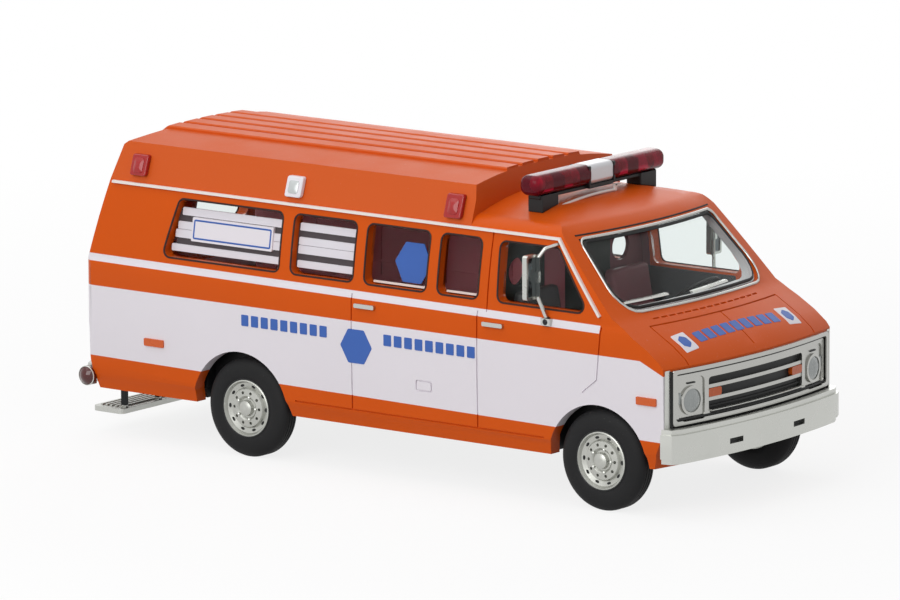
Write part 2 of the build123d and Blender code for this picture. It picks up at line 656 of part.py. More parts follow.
# Chrome frame of the grille with its raised rim, lamp wells and two bars
WELL_DEPTH = 0.35
BAR_HEIGHTS, BAR_TALL = (9.4, 10.45), 0.3
grille_opening = face_prism(GRILLE["half"], GRILLE["low"], GRILLE["high"])
with BuildPart() as grille_frame:
    add(face_inset(0) & layer(hull, -FACE["depth"], FACE["proud"]))
    add((face_inset(0) - face_inset(FACE_RIM["width"])) & layer(hull, 0, FACE_RIM["proud"]))
    add((face_inset(FACE_RIM["width"]) - face_inset(FACE_RIM["width"] + FACE_RIM["gap"]))
        & layer(hull, -0.2, FACE_RIM["proud"]), mode=Mode.SUBTRACT)
    add(grille_opening, mode=Mode.SUBTRACT)
    add(lamp_wells() - hull(-WELL_DEPTH), mode=Mode.SUBTRACT)
    add(lamp_discs(HEADLAMP["radius"] + HEADLAMP["rim"], HEADLAMP["radius"])
        & layer(hull, -WELL_DEPTH, 0.1))
    for height in BAR_HEIGHTS:
        add(front_box(0, height, 2 * GRILLE["half"], BAR_TALL, IN_NOSE, 10, 0.1)
            & layer(hull, -WELL_DEPTH, -0.02))
save(grille_frame.part, "grille_frame")

INSERT_BARS = {"low": 8.75, "step": 0.47, "count": 6, "tall": 0.14}
with BuildPart() as grille_insert:
    add(grille_opening & layer(hull, -FACE["depth"], -WELL_DEPTH))
    for number in range(INSERT_BARS["count"]):
        height = INSERT_BARS["low"] + number * INSERT_BARS["step"]
        if all(abs(height - bar) > BAR_TALL for bar in BAR_HEIGHTS):
            add(front_box(0, height, 2 * GRILLE["half"], INSERT_BARS["tall"], IN_NOSE, 10, 0.05)
                & layer(hull, -WELL_DEPTH, -0.22))
save(grille_insert.part, "grille_insert")

with BuildPart() as headlamps:
    add(lamp_discs(HEADLAMP["radius"]) & layer(hull, -WELL_DEPTH, 0.02))
save(headlamps.part, "headlamps")

with BuildPart() as turn_signals:
    for side in SIDES.values():
        add(front_box(side * SIGNAL["y"], SIGNAL["z"], SIGNAL["width"], SIGNAL["height"], IN_NOSE, 10)
            & layer(hull, -WELL_DEPTH, 0.04))
save(turn_signals.part, "turn_signals")

# Bumpers: a bowed channel seen from above, with brackets back to the body
FRONT_BUMPER = {"tip": 27.3, "half": 11.9, "low": 4.75, "high": 7.6, "end": 24.9, "thick": 0.6,
                "roll": 0.42, "inset": 0.16}
REAR_BUMPER = {"tip": -37.4, "half": 11.5, "low": 4.3, "high": 6.1, "end": -35.3, "thick": 0.55,
               "roll": 0.3, "inset": 0.14}


def bumper_slab(size, low, high, inset):
    """A bowed slab with its ends wrapped round the corners of the body."""
    ahead = 1 if size["tip"] > 0 else -1
    tip, end, half, thick = size["tip"] - ahead * inset, size["end"], size["half"] - inset, size["thick"]
    with BuildPart() as bar:
        with BuildSketch(Plane.XY.offset(low)):
            with BuildLine():
                ThreePointArc((MID + tip - ahead * 0.9, -half + 1.0), (MID + tip, 0),
                              (MID + tip - ahead * 0.9, half - 1.0))
                Polyline((MID + tip - ahead * 0.9, half - 1.0), (MID + tip - ahead * 1.35, half - 0.15),
                         (MID + end, half), (MID + end, half - thick),
                         (MID + tip - ahead * 1.7, half - thick - 0.2),
                         (MID + tip - ahead * (0.9 + thick), half - 1.3))
                ThreePointArc((MID + tip - ahead * (0.9 + thick), half - 1.3), (MID + tip - ahead * thick, 0),
                              (MID + tip - ahead * (0.9 + thick), -half + 1.3))
                Polyline((MID + tip - ahead * (0.9 + thick), -half + 1.3),
                         (MID + tip - ahead * 1.7, -half + thick + 0.2),
                         (MID + end, -half + thick), (MID + end, -half),
                         (MID + tip - ahead * 1.35, -half + 0.15), (MID + tip - ahead * 0.9, -half + 1.0))
            make_face()
        extrude(amount=high - low)
    return bar.part


def bumper_bar(size):
    """A bumper with its upper and lower edges stepped back as a rolled section."""
    low, high, roll, inset = size["low"], size["high"], size["roll"], size["inset"]
    with BuildPart() as bar:
        add(bumper_slab(size, low + roll, high - roll, 0))
        add(bumper_slab(size, low, low + roll, inset))
        add(bumper_slab(size, high - roll, high, inset))
    return bar.part


BUMPER_SLOT = {"station": 27, "y": 4.4, "height": 5.85, "length": 3, "wide": 1.7, "tall": 0.45}
BRACKETS = {"front": (25.8, 6.2, 2.0, 1.4, 0.9), "rear": (-36.05, 5.2, 2.0, 1.2, 0.8)}
BRACKET_Y = 7.0


def brackets(place):
    """Blocks from a bumper back to the body."""
    station, height, length, wide, tall = BRACKETS[place]
    return [block(station, side * BRACKET_Y, height, length, wide, tall) for side in SIDES.values()]


with BuildPart() as front_bumper:
    add(bumper_bar(FRONT_BUMPER))
    slot = BUMPER_SLOT
    with Locations(*[(MID + slot["station"], side * slot["y"], slot["height"]) for side in SIDES.values()]):
        Box(slot["length"], slot["wide"], slot["tall"], mode=Mode.SUBTRACT)
    add(brackets("front"))
    add(outside, mode=Mode.SUBTRACT)
save(front_bumper.part, "front_bumper")

with BuildPart() as rear_bumper:
    add(bumper_bar(REAR_BUMPER))
    add(brackets("rear"))
    add(outside, mode=Mode.SUBTRACT)
save(rear_bumper.part, "rear_bumper")

TAIL_LAMP = {"station": -35.6, "height": 5.1, "radius": 0.85}
with BuildPart() as tail_lamps:
    for side in SIDES.values():
        with Locations(Location((MID + TAIL_LAMP["station"], side * (REAR_BUMPER["half"] + 0.15),
                                 TAIL_LAMP["height"]), (90, 0, 0))):
            Cylinder(TAIL_LAMP["radius"], 0.3)
    add(outside, mode=Mode.SUBTRACT)
save(tail_lamps.part, "tail_lamps")

# Step behind the rear doors, hung from the chassis
STEP = {"rear": -36.5, "front": -33.2, "half": 10.0, "low": 1.7, "high": 2.15}
TREAD = {"start": 0.55, "pitch": 0.5, "count": 5, "wide": 0.2, "proud": 0.12, "short": 1.2}
HANGERS = {"station": -33.75, "y": (-9.0, -4.5, 4.5, 9.0), "length": 0.5, "wide": 0.4}
with BuildPart() as rear_step:
    with BuildSketch(Plane.XY.offset(STEP["low"])):
        with Locations((MID + (STEP["rear"] + STEP["front"]) / 2, 0)):
            RectangleRounded(STEP["front"] - STEP["rear"], 2 * STEP["half"], 0.5)
    extrude(amount=STEP["high"] - STEP["low"])
    first_row = MID + STEP["rear"] + TREAD["start"]
    with Locations(*[(first_row + TREAD["pitch"] * row, 0, STEP["high"] + TREAD["proud"] / 2)
                     for row in range(TREAD["count"])]):
        Box(TREAD["wide"], 2 * STEP["half"] - TREAD["short"], TREAD["proud"])
    with Locations(*[(MID + HANGERS["station"], y, (STEP["high"] + PLATE_LOW) / 2) for y in HANGERS["y"]]):
        Box(HANGERS["length"], HANGERS["wide"], PLATE_LOW - STEP["high"])
    add(body_shell.part, mode=Mode.SUBTRACT)
save(rear_step.part, "rear_step")

# Lamps and markers that stand on the skin, seen from the side
ROOF_LAMPS = {"front": (2.75, 23.5, 1.75, 1.95), "rear": (-30.75, 23.55, 1.7, 1.75)}
SCENE_LAMP = (-14.0, 23.4, 1.7, 1.7)
SIDE_MARKERS = {"front": (23.4, 9.75, 2.0, 0.65), "rear": (-28.2, 8.75, 2.1, 0.65)}


roof_skin = layer(roof_form, 0, 0.45)
with BuildPart() as roof_markers:
    for lamp in ROOF_LAMPS.values():
        add(across(*lamp) & roof_skin)
save(roof_markers.part, "roof_markers")
with BuildPart() as scene_lamps:
    add(across(*SCENE_LAMP) & roof_skin)
save(scene_lamps.part, "scene_lamps")
with BuildPart() as side_markers:
    for marker in SIDE_MARKERS.values():
        add(across(*marker, radius=0.1) & layer(hull, 0, 0.15))
save(side_markers.part, "side_markers")

# Rain channel along the roof and down the screen pillar
RAIL_WIDTH, RAIL_PROUD = 0.22, 0.24
with BuildPart() as rail_prism:
    with BuildSketch(flat_side()):
        with BuildLine():
            Polyline(at(-33.5, 21.93), at(13.75, 21.93), at(18.55, 16.15))
        trace(line_width=RAIL_WIDTH)
    extrude(amount=REACH, both=True)
rails = rail_prism.part & layer(hull, 0, RAIL_PROUD)
for name in SIDES:
    with BuildPart() as drip_rail:
        add(rails & half_space[name])
    save(drip_rail.part, f"drip_rail_{name}")

HANDLES = {"cab": (7.85, 14.35, 2.1, 0.36), "side_door": (-5.5, 14.4, 2.1, 0.36)}
REAR_HANDLE = {"y": 1.4, "height": 12.6, "wide": 0.4, "tall": 1.6}
with BuildPart() as door_handles:
    handle_skin = layer(hull, 0, 0.3)
    add(across(*HANDLES["cab"], radius=0.12) & handle_skin)
    add(across(*HANDLES["side_door"], radius=0.12) & handle_skin & half_space["right"])
    add(front_box(REAR_HANDLE["y"], REAR_HANDLE["height"], REAR_HANDLE["wide"], REAR_HANDLE["tall"],
                  BEHIND, 9, 0.12) & handle_skin)
save(door_handles.part, "door_handles")

# Mirrors on their bent tubes, from the rain channel to a foot on the door
MIRROR_ROUTE = [(13.7, 10.55, 21.5), (13.3, 11.9, 21.3), (12.8, 12.2, 20.5), (12.8, 12.2, 17.2),
                (13.3, 11.6, 15.25)]
MIRROR_PLATE = {"station": 12.2, "y": 12.75, "height": 18.95, "wide": 1.6, "tall": 3.7,
                "deep": 0.45, "rim": 0.22, "sunk": 0.13}
MIRROR_TUBE = 0.16
# Bracket between plate and tube, and the tube's foot on the door: station, y, height and the three sizes
MIRROR_BLOCKS = {"bracket": (12.75, 12.25, 18.95, 0.5, 0.3, 0.9), "foot": (13.3, 11.6, 15.2, 0.9, 0.7, 0.6)}
for name, side in SIDES.items():
    with BuildPart() as mirror_piece:
        with BuildLine() as route:
            FilletPolyline(*[(MID + s, side * y, z) for s, y, z in MIRROR_ROUTE], radius=0.35)
        with BuildSketch(Plane(origin=route.line @ 0, z_dir=route.line % 0)):
            Circle(MIRROR_TUBE)
        sweep()
        with BuildSketch(flat_front().offset(MID + MIRROR_PLATE["station"])):
            with Locations((side * MIRROR_PLATE["y"], MIRROR_PLATE["height"])):
                RectangleRounded(MIRROR_PLATE["wide"], MIRROR_PLATE["tall"], 0.25)
        extrude(amount=MIRROR_PLATE["deep"])
        # Sunk glass in the rear face and sunk back in the front face
        for plane in (MID + MIRROR_PLATE["station"] + MIRROR_PLATE["deep"] - MIRROR_PLATE["sunk"],
                      MID + MIRROR_PLATE["station"] - 1 + MIRROR_PLATE["sunk"]):
            with BuildSketch(flat_front().offset(plane)):
                with Locations((side * MIRROR_PLATE["y"], MIRROR_PLATE["height"])):
                    RectangleRounded(MIRROR_PLATE["wide"] - 2 * MIRROR_PLATE["rim"],
                                     MIRROR_PLATE["tall"] - 2 * MIRROR_PLATE["rim"], 0.12)
            extrude(amount=1, mode=Mode.SUBTRACT)
        for station, y, height, length, wide, tall in MIRROR_BLOCKS.values():
            add(block(station, side * y, height, length, wide, tall))
        add(outside, mode=Mode.SUBTRACT)
        add(rails, mode=Mode.SUBTRACT)
    save(mirror_piece.part, f"mirror_{name}")

# Wipers on the foot of the screen, in the front view
WIPERS = [((-9.1, 17.0), (-3.8, 17.05)), ((-0.9, 16.8), (4.4, 16.95))]
WIPER_WIDTH = 0.15
with BuildPart() as wipers:
    for foot, tip in WIPERS:
        with BuildSketch(flat_front().offset(MID + IN_CAB)):
            with BuildLine():
                Line(foot, tip)
            trace(line_width=WIPER_WIDTH)
        extrude(amount=20)
    add(layer(hull, -SCREEN_SUNK, -0.02), mode=Mode.INTERSECT)
save(wipers.part, "wipers")

# Light bar on the cab roof
BAR = {"station": 9.3, "low": 24.75, "top": 26.45, "inner": 1.6, "outer": 8.9, "deep": 2.1}
FOOT = {"y": 6.8, "wide": 2.2, "deep": 1.5, "middle": 23.5, "tall": 2.5}
BAR_PLATE = {"deep": 1.2, "thick": 0.3, "short": 0.8}
with BuildPart() as light_bar_base:
    for side in SIDES.values():
        add(block(BAR["station"], side * FOOT["y"], FOOT["middle"], FOOT["deep"], FOOT["wide"], FOOT["tall"])
            - outside)
    with Locations((MID + BAR["station"], 0, BAR["low"] - BAR_PLATE["thick"] / 2)):
        Box(BAR_PLATE["deep"], 2 * (BAR["outer"] - BAR_PLATE["short"]), BAR_PLATE["thick"])
save(light_bar_base.part, "light_bar_base")
for name, side in SIDES.items():
    with BuildPart() as dome:
        with BuildSketch(Plane.XZ.offset(-side * BAR["inner"])):
            with Locations((MID + BAR["station"], (BAR["low"] + BAR["top"]) / 2)):
                RectangleRounded(BAR["deep"], BAR["top"] - BAR["low"], 0.7)
        extrude(amount=-side * (BAR["outer"] - BAR["inner"]))
        end_face = dome.faces().sort_by(Axis.Y)[-1 if side > 0 else 0]
        fillet(end_face.edges(), 0.6)
    save(dome.part, f"light_dome_{name}")
with BuildPart() as siren_speaker:
    with Locations((MID + BAR["station"], 0, (BAR["low"] + BAR["top"]) / 2)):
        Box(1.9, 2 * BAR["inner"], BAR["top"] - BAR["low"])
    fillet(siren_speaker.edges().filter_by(Axis.Y), 0.45)
save(siren_speaker.part, "siren_speaker")
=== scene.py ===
"""Looks of a 1:87 scale model of a long-wheelbase van ambulance with a ribbed raised roof.

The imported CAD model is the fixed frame, in metres, with +X forward, +Y to the vehicle's left and
the floor at zero.  Each class below dresses one sub-assembly: it gives the CAD nodes their
finishes and adds the pieces that only the eye needs, as surfaces worked out with numpy.
"""
from __future__ import annotations

import logging
import math
from dataclasses import dataclass
from enum import Enum
from functools import partial
from typing import Callable, Sequence

import bmesh
import bpy
import numpy as np
from mathutils import Matrix

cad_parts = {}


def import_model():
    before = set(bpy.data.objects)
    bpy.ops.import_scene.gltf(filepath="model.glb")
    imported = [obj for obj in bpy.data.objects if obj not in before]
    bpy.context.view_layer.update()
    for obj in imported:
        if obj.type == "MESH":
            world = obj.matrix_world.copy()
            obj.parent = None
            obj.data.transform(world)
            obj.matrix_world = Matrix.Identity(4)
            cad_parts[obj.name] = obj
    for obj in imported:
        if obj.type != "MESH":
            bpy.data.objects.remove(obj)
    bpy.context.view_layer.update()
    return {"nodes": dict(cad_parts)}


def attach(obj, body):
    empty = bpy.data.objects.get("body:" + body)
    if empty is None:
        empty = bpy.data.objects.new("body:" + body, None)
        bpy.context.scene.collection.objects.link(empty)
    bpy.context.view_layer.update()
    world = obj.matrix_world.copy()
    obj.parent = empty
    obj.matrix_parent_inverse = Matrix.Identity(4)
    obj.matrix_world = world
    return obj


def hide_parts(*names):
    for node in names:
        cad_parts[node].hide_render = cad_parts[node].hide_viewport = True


LOG = logging.getLogger("van")
MM = 0.001

# Stations are counted in millimetres from the middle of the wheelbase, as on the drawing
MID = 5.05
HALF_BASE = 18.55
WHEEL_HEIGHT = 4.2
SIDES = {-1: "right", 1: "left"}

FLOAT, VECTOR = "NodeSocketFloat", "NodeSocketVector"

# Points in millimetres and the faces between them
Shell = tuple[np.ndarray, list]
# Carries flat points and a lift onto a surface
Surface = Callable[[np.ndarray, object], np.ndarray]
Pair = tuple[float, float]
Spot = tuple[float, float, float]
Box = tuple[float, float, float, float]


def colour(code: str) -> Box:
    """Read a colour as it looks on a screen and return it as linear light.

    Args:
        code: six hexadecimal digits.

    Returns:
        Red, green, blue and a fourth value of 1 for a shader socket.
    """
    parts = [int(code[start:start + 2], 16) / 255 for start in (0, 2, 4)]
    linear = [part / 12.92 if part < 0.04045 else ((part + 0.055) / 1.055) ** 2.4 for part in parts]
    return (*linear, 1.0)


class Body(Enum):
    """The rigid bodies that a piece can ride on."""

    VAN = "root"
    FRONT = "front_wheels"
    REAR = "rear_wheels"


class Slot(Enum):
    """Material slots of the record."""

    SHELL = "orange_shell"
    PRINT = "white_print"
    WHITE = "white_plastic"
    INTERIOR = "brown_interior"
    BLACK = "black_plastic"
    PLATING = "chrome_plating"
    METAL = "bare_metal"
    LENS = "lamp_lens"
    RED = "red_lens"
    DOME = "red_dome"
    TYRE = "tyre_rubber"


class Wiring:
    """A node tree with short calls for adding and joining its nodes."""

    def __init__(self, tree: bpy.types.NodeTree) -> None:
        """Keep the tree that is being wired."""
        self.tree = tree

    def feed(self, node: bpy.types.Node, inputs: dict) -> None:
        """Link a socket or write a plain value into each named or numbered input of a node.

        Args:
            node: the node to feed.
            inputs: a socket or a plain value for each name or number of an input.
        """
        for place, value in inputs.items():
            if isinstance(value, bpy.types.NodeSocket):
                self.tree.links.new(value, node.inputs[place])
            else:
                node.inputs[place].default_value = value

    def add(self, kind: str, inputs: dict | None = None, **settings: object) -> bpy.types.bpy_prop_collection:
        """Add a node.

        Args:
            kind: Blender's name of the kind.
            inputs: sockets or plain values for its inputs, by name or number.
            settings: its named properties.

        Returns:
            The node's outputs.
        """
        node = self.tree.nodes.new(kind)
        for name, value in settings.items():
            setattr(node, name, value)
        self.feed(node, inputs or {})
        return node.outputs

    def calc(self, operation: str, *values: object) -> bpy.types.NodeSocket:
        """Add a Math node with sockets or numbers for its inputs, in order, and return its output."""
        return self.add("ShaderNodeMath", dict(enumerate(values)), operation=operation)[0]

    def blend(self, factor: object, first: object, second: object) -> bpy.types.NodeSocket:
        """Mix two colours by a factor and return the result."""
        return self.add("ShaderNodeMix", {0: factor, 6: first, 7: second}, data_type="RGBA")[2]

    def ramp(self, value: object, low: float, high: float, start: float = 0.0, end: float = 1.0
             ) -> bpy.types.NodeSocket:
        """Map a value from low..high to start..end, clamped."""
        return self.add("ShaderNodeMapRange", dict(enumerate((value, low, high, start, end))))[0]

    def noise(self, place: object, scale: object, detail: float) -> bpy.types.NodeSocket:
        """Noise over a place, with a value about one half."""
        return self.add("ShaderNodeTexNoise", {"Vector": place, "Scale": scale, "Detail": detail})["Fac"]

    def seen(self) -> bpy.types.NodeSocket:
        """One where the camera looks, straight or by way of a shiny or clear surface.

        Returns:
            A socket that is 1 for camera, glossy and transmission rays, and 0 for all others.
        """
        rays = self.add("ShaderNodeLightPath")
        straight = self.calc("MAXIMUM", rays["Is Camera Ray"], rays["Is Glossy Ray"])
        return self.calc("MAXIMUM", straight, rays["Is Transmission Ray"])

    def mix_surface(self, factor: object, second: object) -> None:
        """Mix the material's own shader with a second one by a factor.

        Args:
            factor: share of the second shader.
            second: output of the second shader.
        """
        nodes = self.tree.nodes
        own = nodes["Principled BSDF"].outputs[0]
        mixed = self.add("ShaderNodeMixShader", {0: factor, 1: own, 2: second})
        self.feed(nodes["Material Output"], {"Surface": mixed[0]})


def wired_material(name: str) -> tuple[bpy.types.Material, Wiring, bpy.types.Node]:
    """Start a material.

    Args:
        name: the material's name.

    Returns:
        The material, its wiring and its shader.
    """
    material = bpy.data.materials.new(name)
    material.use_nodes = True
    return material, Wiring(material.node_tree), material.node_tree.nodes["Principled BSDF"]


class Effects:
    """The shader groups that several finishes share, built once."""

    # Softness of a printed edge in metres
    soft_edge: float = 0.04 * MM
    ripple_detail: float = 2.0
    # Scale and detail of each noise
    tint_noise: Pair = (90.0, 2.0)
    smudge_noise: Pair = (220.0, 4.0)
    dust_noise: Pair = (5200.0, 1.0)
    # Values of the noise at which smudges and dust begin and are full
    smudge_range: Pair = (0.45, 0.7)
    dust_range: Pair = (0.70, 0.76)

    def __init__(self) -> None:
        """Build every group from its inputs, its outputs and the function that wires it."""
        self.band = self.group(
            "printed_band", {"Place": FLOAT, "Low": FLOAT, "High": FLOAT}, ("Mask",), self.wire_band)
        self.skin = self.group(
            "moulded_skin", {"Place": VECTOR, "Scale": FLOAT, "Tint": FLOAT}, ("Height", "Shade"),
            self.wire_skin)
        self.handling = self.group(
            "handling", {"Place": VECTOR, "Smudge": FLOAT, "Dust": FLOAT}, ("Rough", "Speck"),
            self.wire_handling)

    @staticmethod
    def group(name: str, inputs: dict[str, str], outputs: Sequence[str],
              wire: Callable[..., Sequence[bpy.types.NodeSocket]]) -> bpy.types.NodeTree:
        """Make a shader node group.

        Args:
            name: the group's name.
            inputs: the socket kind of each named input.
            outputs: the names of the outputs, which are all numbers.
            wire: wires the group and gives the sockets of its outputs in order.

        Returns:
            The group.
        """
        tree = bpy.data.node_groups.new(name, "ShaderNodeTree")
        for label, kind in inputs.items():
            tree.interface.new_socket(label, in_out="INPUT", socket_type=kind)
        for label in outputs:
            tree.interface.new_socket(label, in_out="OUTPUT", socket_type=FLOAT)
        wiring = Wiring(tree)
        given = wiring.add("NodeGroupInput")
        results = wire(wiring, *(given[label] for label in inputs))
        wiring.feed(tree.nodes.new("NodeGroupOutput"), dict(zip(outputs, results)))
        return tree

    def wire_band(self, wiring: Wiring, place: object, low: object, high: object) -> tuple:
        """A printed band: 1 between two heights, with a slightly soft edge.

        Args:
            wiring: the group's wiring.
            place: the height.
            low: the band's lower edge.
            high: the band's upper edge.

        Returns:
            The mask: the distance to the nearest edge over the softness, plus one half, clamped.
        """
        above = wiring.calc("SUBTRACT", place, low)
        below = wiring.calc("SUBTRACT", high, place)
        edge = wiring.calc("DIVIDE", wiring.calc("MINIMUM", above, below), self.soft_edge)
        return (wiring.add("ShaderNodeClamp", {0: wiring.calc("ADD", edge, 0.5)})[0],)

    def wire_skin(self, wiring: Wiring, place: object, scale: object, tint: object) -> tuple:
        """The faint ripple of moulded and painted plastic.

        Args:
            wiring: the group's wiring.
            place: where on the piece.
            scale: scale of the ripple.
            tint: how much the shade swings about 1.

        Returns:
            The height of the ripple and the shade.
        """
        height = wiring.noise(place, scale, self.ripple_detail)
        swing = wiring.calc("SUBTRACT", wiring.noise(place, *self.tint_noise), 0.5)
        return height, wiring.calc("ADD", wiring.calc("MULTIPLY", swing, tint), 1.0)

    def wire_handling(self, wiring: Wiring, place: object, amount: object, dust: object) -> tuple:
        """Smudges of handling, and specks of dust on what faces up.

        Args:
            wiring: the group's wiring.
            place: where on the piece.
            amount: roughness that a full smudge adds.
            dust: how much of a speck covers the colour.

        Returns:
            The added roughness and the mask of the dust.
        """
        smudge = wiring.ramp(wiring.noise(place, *self.smudge_noise), *self.smudge_range)
        speck = wiring.ramp(wiring.noise(place, *self.dust_noise), *self.dust_range)
        facing = wiring.add("ShaderNodeSeparateXYZ", {0: wiring.add("ShaderNodeNewGeometry")["Normal"]})
        lying = wiring.calc("MULTIPLY", speck, wiring.calc("MAXIMUM", facing["Z"], 0.0))
        return wiring.calc("MULTIPLY", smudge, amount), wiring.calc("MULTIPLY", lying, dust)


@dataclass(frozen=True)
class Finish:
    """A surface finish: how a material of one kind is coloured and how it shines."""

    name: str
    base: str
    roughness: float = 0.35
    metallic: float = 0.0
    coat: float = 0.0
    coat_roughness: float = 0.08
    transmission: float = 0.0
    ior: float = 1.36
    ripple: float = 0.02
    ripple_scale: float = 900.0
    tint: float = 0.06
    smudge: float = 0.08
    dust: float = 0.25
    dust_tone: str = "c9c4bd"

    def paint(self, wiring: Wiring, place: Sequence[bpy.types.NodeSocket], effects: Effects) -> object:
        """Give the colour before shading, a plain one unless a finish says otherwise."""
        return colour(self.base)[:3]

    def build(self, effects: Effects) -> bpy.types.Material:
        """Make the material.

        Args:
            effects: the shared shader groups.

        Returns:
            A material with its shader, ripple, smudges and dust.
        """
        material, wiring, shader = wired_material(self.name)
        place = wiring.add("ShaderNodeTexCoord")["Object"]
        axes = wiring.add("ShaderNodeSeparateXYZ", {0: place})
        skin = wiring.add("ShaderNodeGroup", {"Place": place, "Scale": self.ripple_scale, "Tint": self.tint},
                          node_tree=effects.skin)
        handling = wiring.add("ShaderNodeGroup", {"Place": place, "Smudge": self.smudge, "Dust": self.dust},
                              node_tree=effects.handling)
        paint = self.paint(wiring, axes, effects)
        shade = wiring.add("ShaderNodeVectorMath", {0: paint, "Scale": skin["Shade"]}, operation="SCALE")
        bump = wiring.add("ShaderNodeBump", {"Strength": 1.0, "Distance": self.ripple * MM,
                                             "Height": skin["Height"]})
        wiring.feed(shader, {
            "Base Color": wiring.blend(handling["Speck"], shade[0], colour(self.dust_tone)),
            "Roughness": wiring.calc("ADD", handling["Rough"], self.roughness),
            "Normal": bump[0], "Metallic": self.metallic, "IOR": self.ior,
            "Coat Weight": self.coat, "Coat Roughness": self.coat_roughness,
            "Transmission Weight": self.transmission})
        return material


@dataclass(frozen=True)
class ShellPaint(Finish):
    """Orange moulding with the printed white side band and the belt stripe."""

    white: str = "e9e4ea"
    band: Pair = (6.65, 13.0)
    band_lean: float = 0.0083
    belt: Pair = (14.8, 15.42)
    belt_lean: float = 0.0056
    belt_end: float = 18.6
    drop_start: float = 22.7
    drop_rate: float = 0.44

    def paint(self, wiring: Wiring, place: Sequence[bpy.types.NodeSocket], effects: Effects) -> object:
        """White between the band's two heights and along the belt, orange elsewhere.

        With s the station, the band's lower edge is band_low - band_lean * s, its upper edge falls
        by drop_rate * (s - drop_start) ahead of drop_start, and the belt rises by
        belt_lean * (belt_end - s) towards the rear and ends at belt_end.

        Args:
            wiring: the material's wiring.
            place: the three axes of the place, in metres.
            effects: the shared shader groups.

        Returns:
            The colour.
        """
        calc = wiring.calc
        station = calc("SUBTRACT", place["X"], MID * MM)
        ahead = calc("MAXIMUM", calc("SUBTRACT", station, self.drop_start * MM), 0.0)
        behind = calc("SUBTRACT", self.belt_end * MM, station)
        low = calc("SUBTRACT", self.band[0] * MM, calc("MULTIPLY", station, self.band_lean))
        high = calc("SUBTRACT", self.band[1] * MM, calc("MULTIPLY", ahead, self.drop_rate))
        level = calc("SUBTRACT", place["Z"], calc("MULTIPLY", behind, self.belt_lean))
        band, belt = (wiring.add("ShaderNodeGroup", dict(enumerate(inputs)), node_tree=effects.band)[0]
                      for inputs in ((place["Z"], low, high), (level, self.belt[0] * MM, self.belt[1] * MM)))
        mask = calc("MAXIMUM", band, calc("MULTIPLY", belt, calc("GREATER_THAN", behind, 0.0)))
        return wiring.blend(mask, colour(self.base), colour(self.white))


@dataclass(frozen=True)
class PartitionPaintedShade(Finish):
    """The partition's tones: a dark painted shade behind the right seat, a panel, and warm behind the left
    seat.
    """

    # Painted shade: the dark tone stands in for the shade in the cab behind the right seat
    dark: str = "2f3634"
    edge: float = 5.6
    panel: Pair = (-3.4, -0.6)
    panel_tone: str = "9a5f66"

    def paint(self, wiring: Wiring, place: Sequence[bpy.types.NodeSocket], effects: Effects) -> object:
        """The base where y is past the edge, the panel's tone within the panel, and the dark painted shade
        elsewhere.

        Args:
            wiring: the material's wiring.
            place: the three axes of the place, in metres.
            effects: the shared shader groups; not used.

        Returns:
            The colour.
        """
        far, near, end = (wiring.calc("GREATER_THAN", place["Y"], y * MM) for y in (self.edge, *self.panel))
        within = wiring.calc("SUBTRACT", near, end)
        panelled = wiring.blend(within, colour(self.dark), colour(self.panel_tone))
        return wiring.blend(far, panelled, colour(self.base))


@dataclass(frozen=True)
class StepPaint(Finish):
    """The rear step: bright tread plate, and dark hangers above it."""

    dark: str = "2b2c2d"
    top: float = 2.32

    def paint(self, wiring: Wiring, place: Sequence[bpy.types.NodeSocket], effects: Effects) -> object:
        """The dark tone above the plate's top, and the base below it."""
        above = wiring.calc("GREATER_THAN", place["Z"], self.top * MM)
        return wiring.blend(above, colour(self.base), colour(self.dark))


@dataclass(frozen=True)
class ClearPlastic(Finish):
    """Clear or tinted moulded glazing, which lets light through to what is behind it."""

    def build(self, effects: Effects) -> bpy.types.Material:
        """Make the material, with shadows that stay as light as the plastic is clear.

        Args:
            effects: the shared shader groups.

        Returns:
            The material.
        """
        material = super().build(effects)
        wiring = Wiring(material.node_tree)
        clear = wiring.add("ShaderNodeBsdfTransparent", {"Color": colour(self.base)})
        wiring.mix_surface(wiring.add("ShaderNodeLightPath")["Is Shadow Ray"], clear[0])
        return material


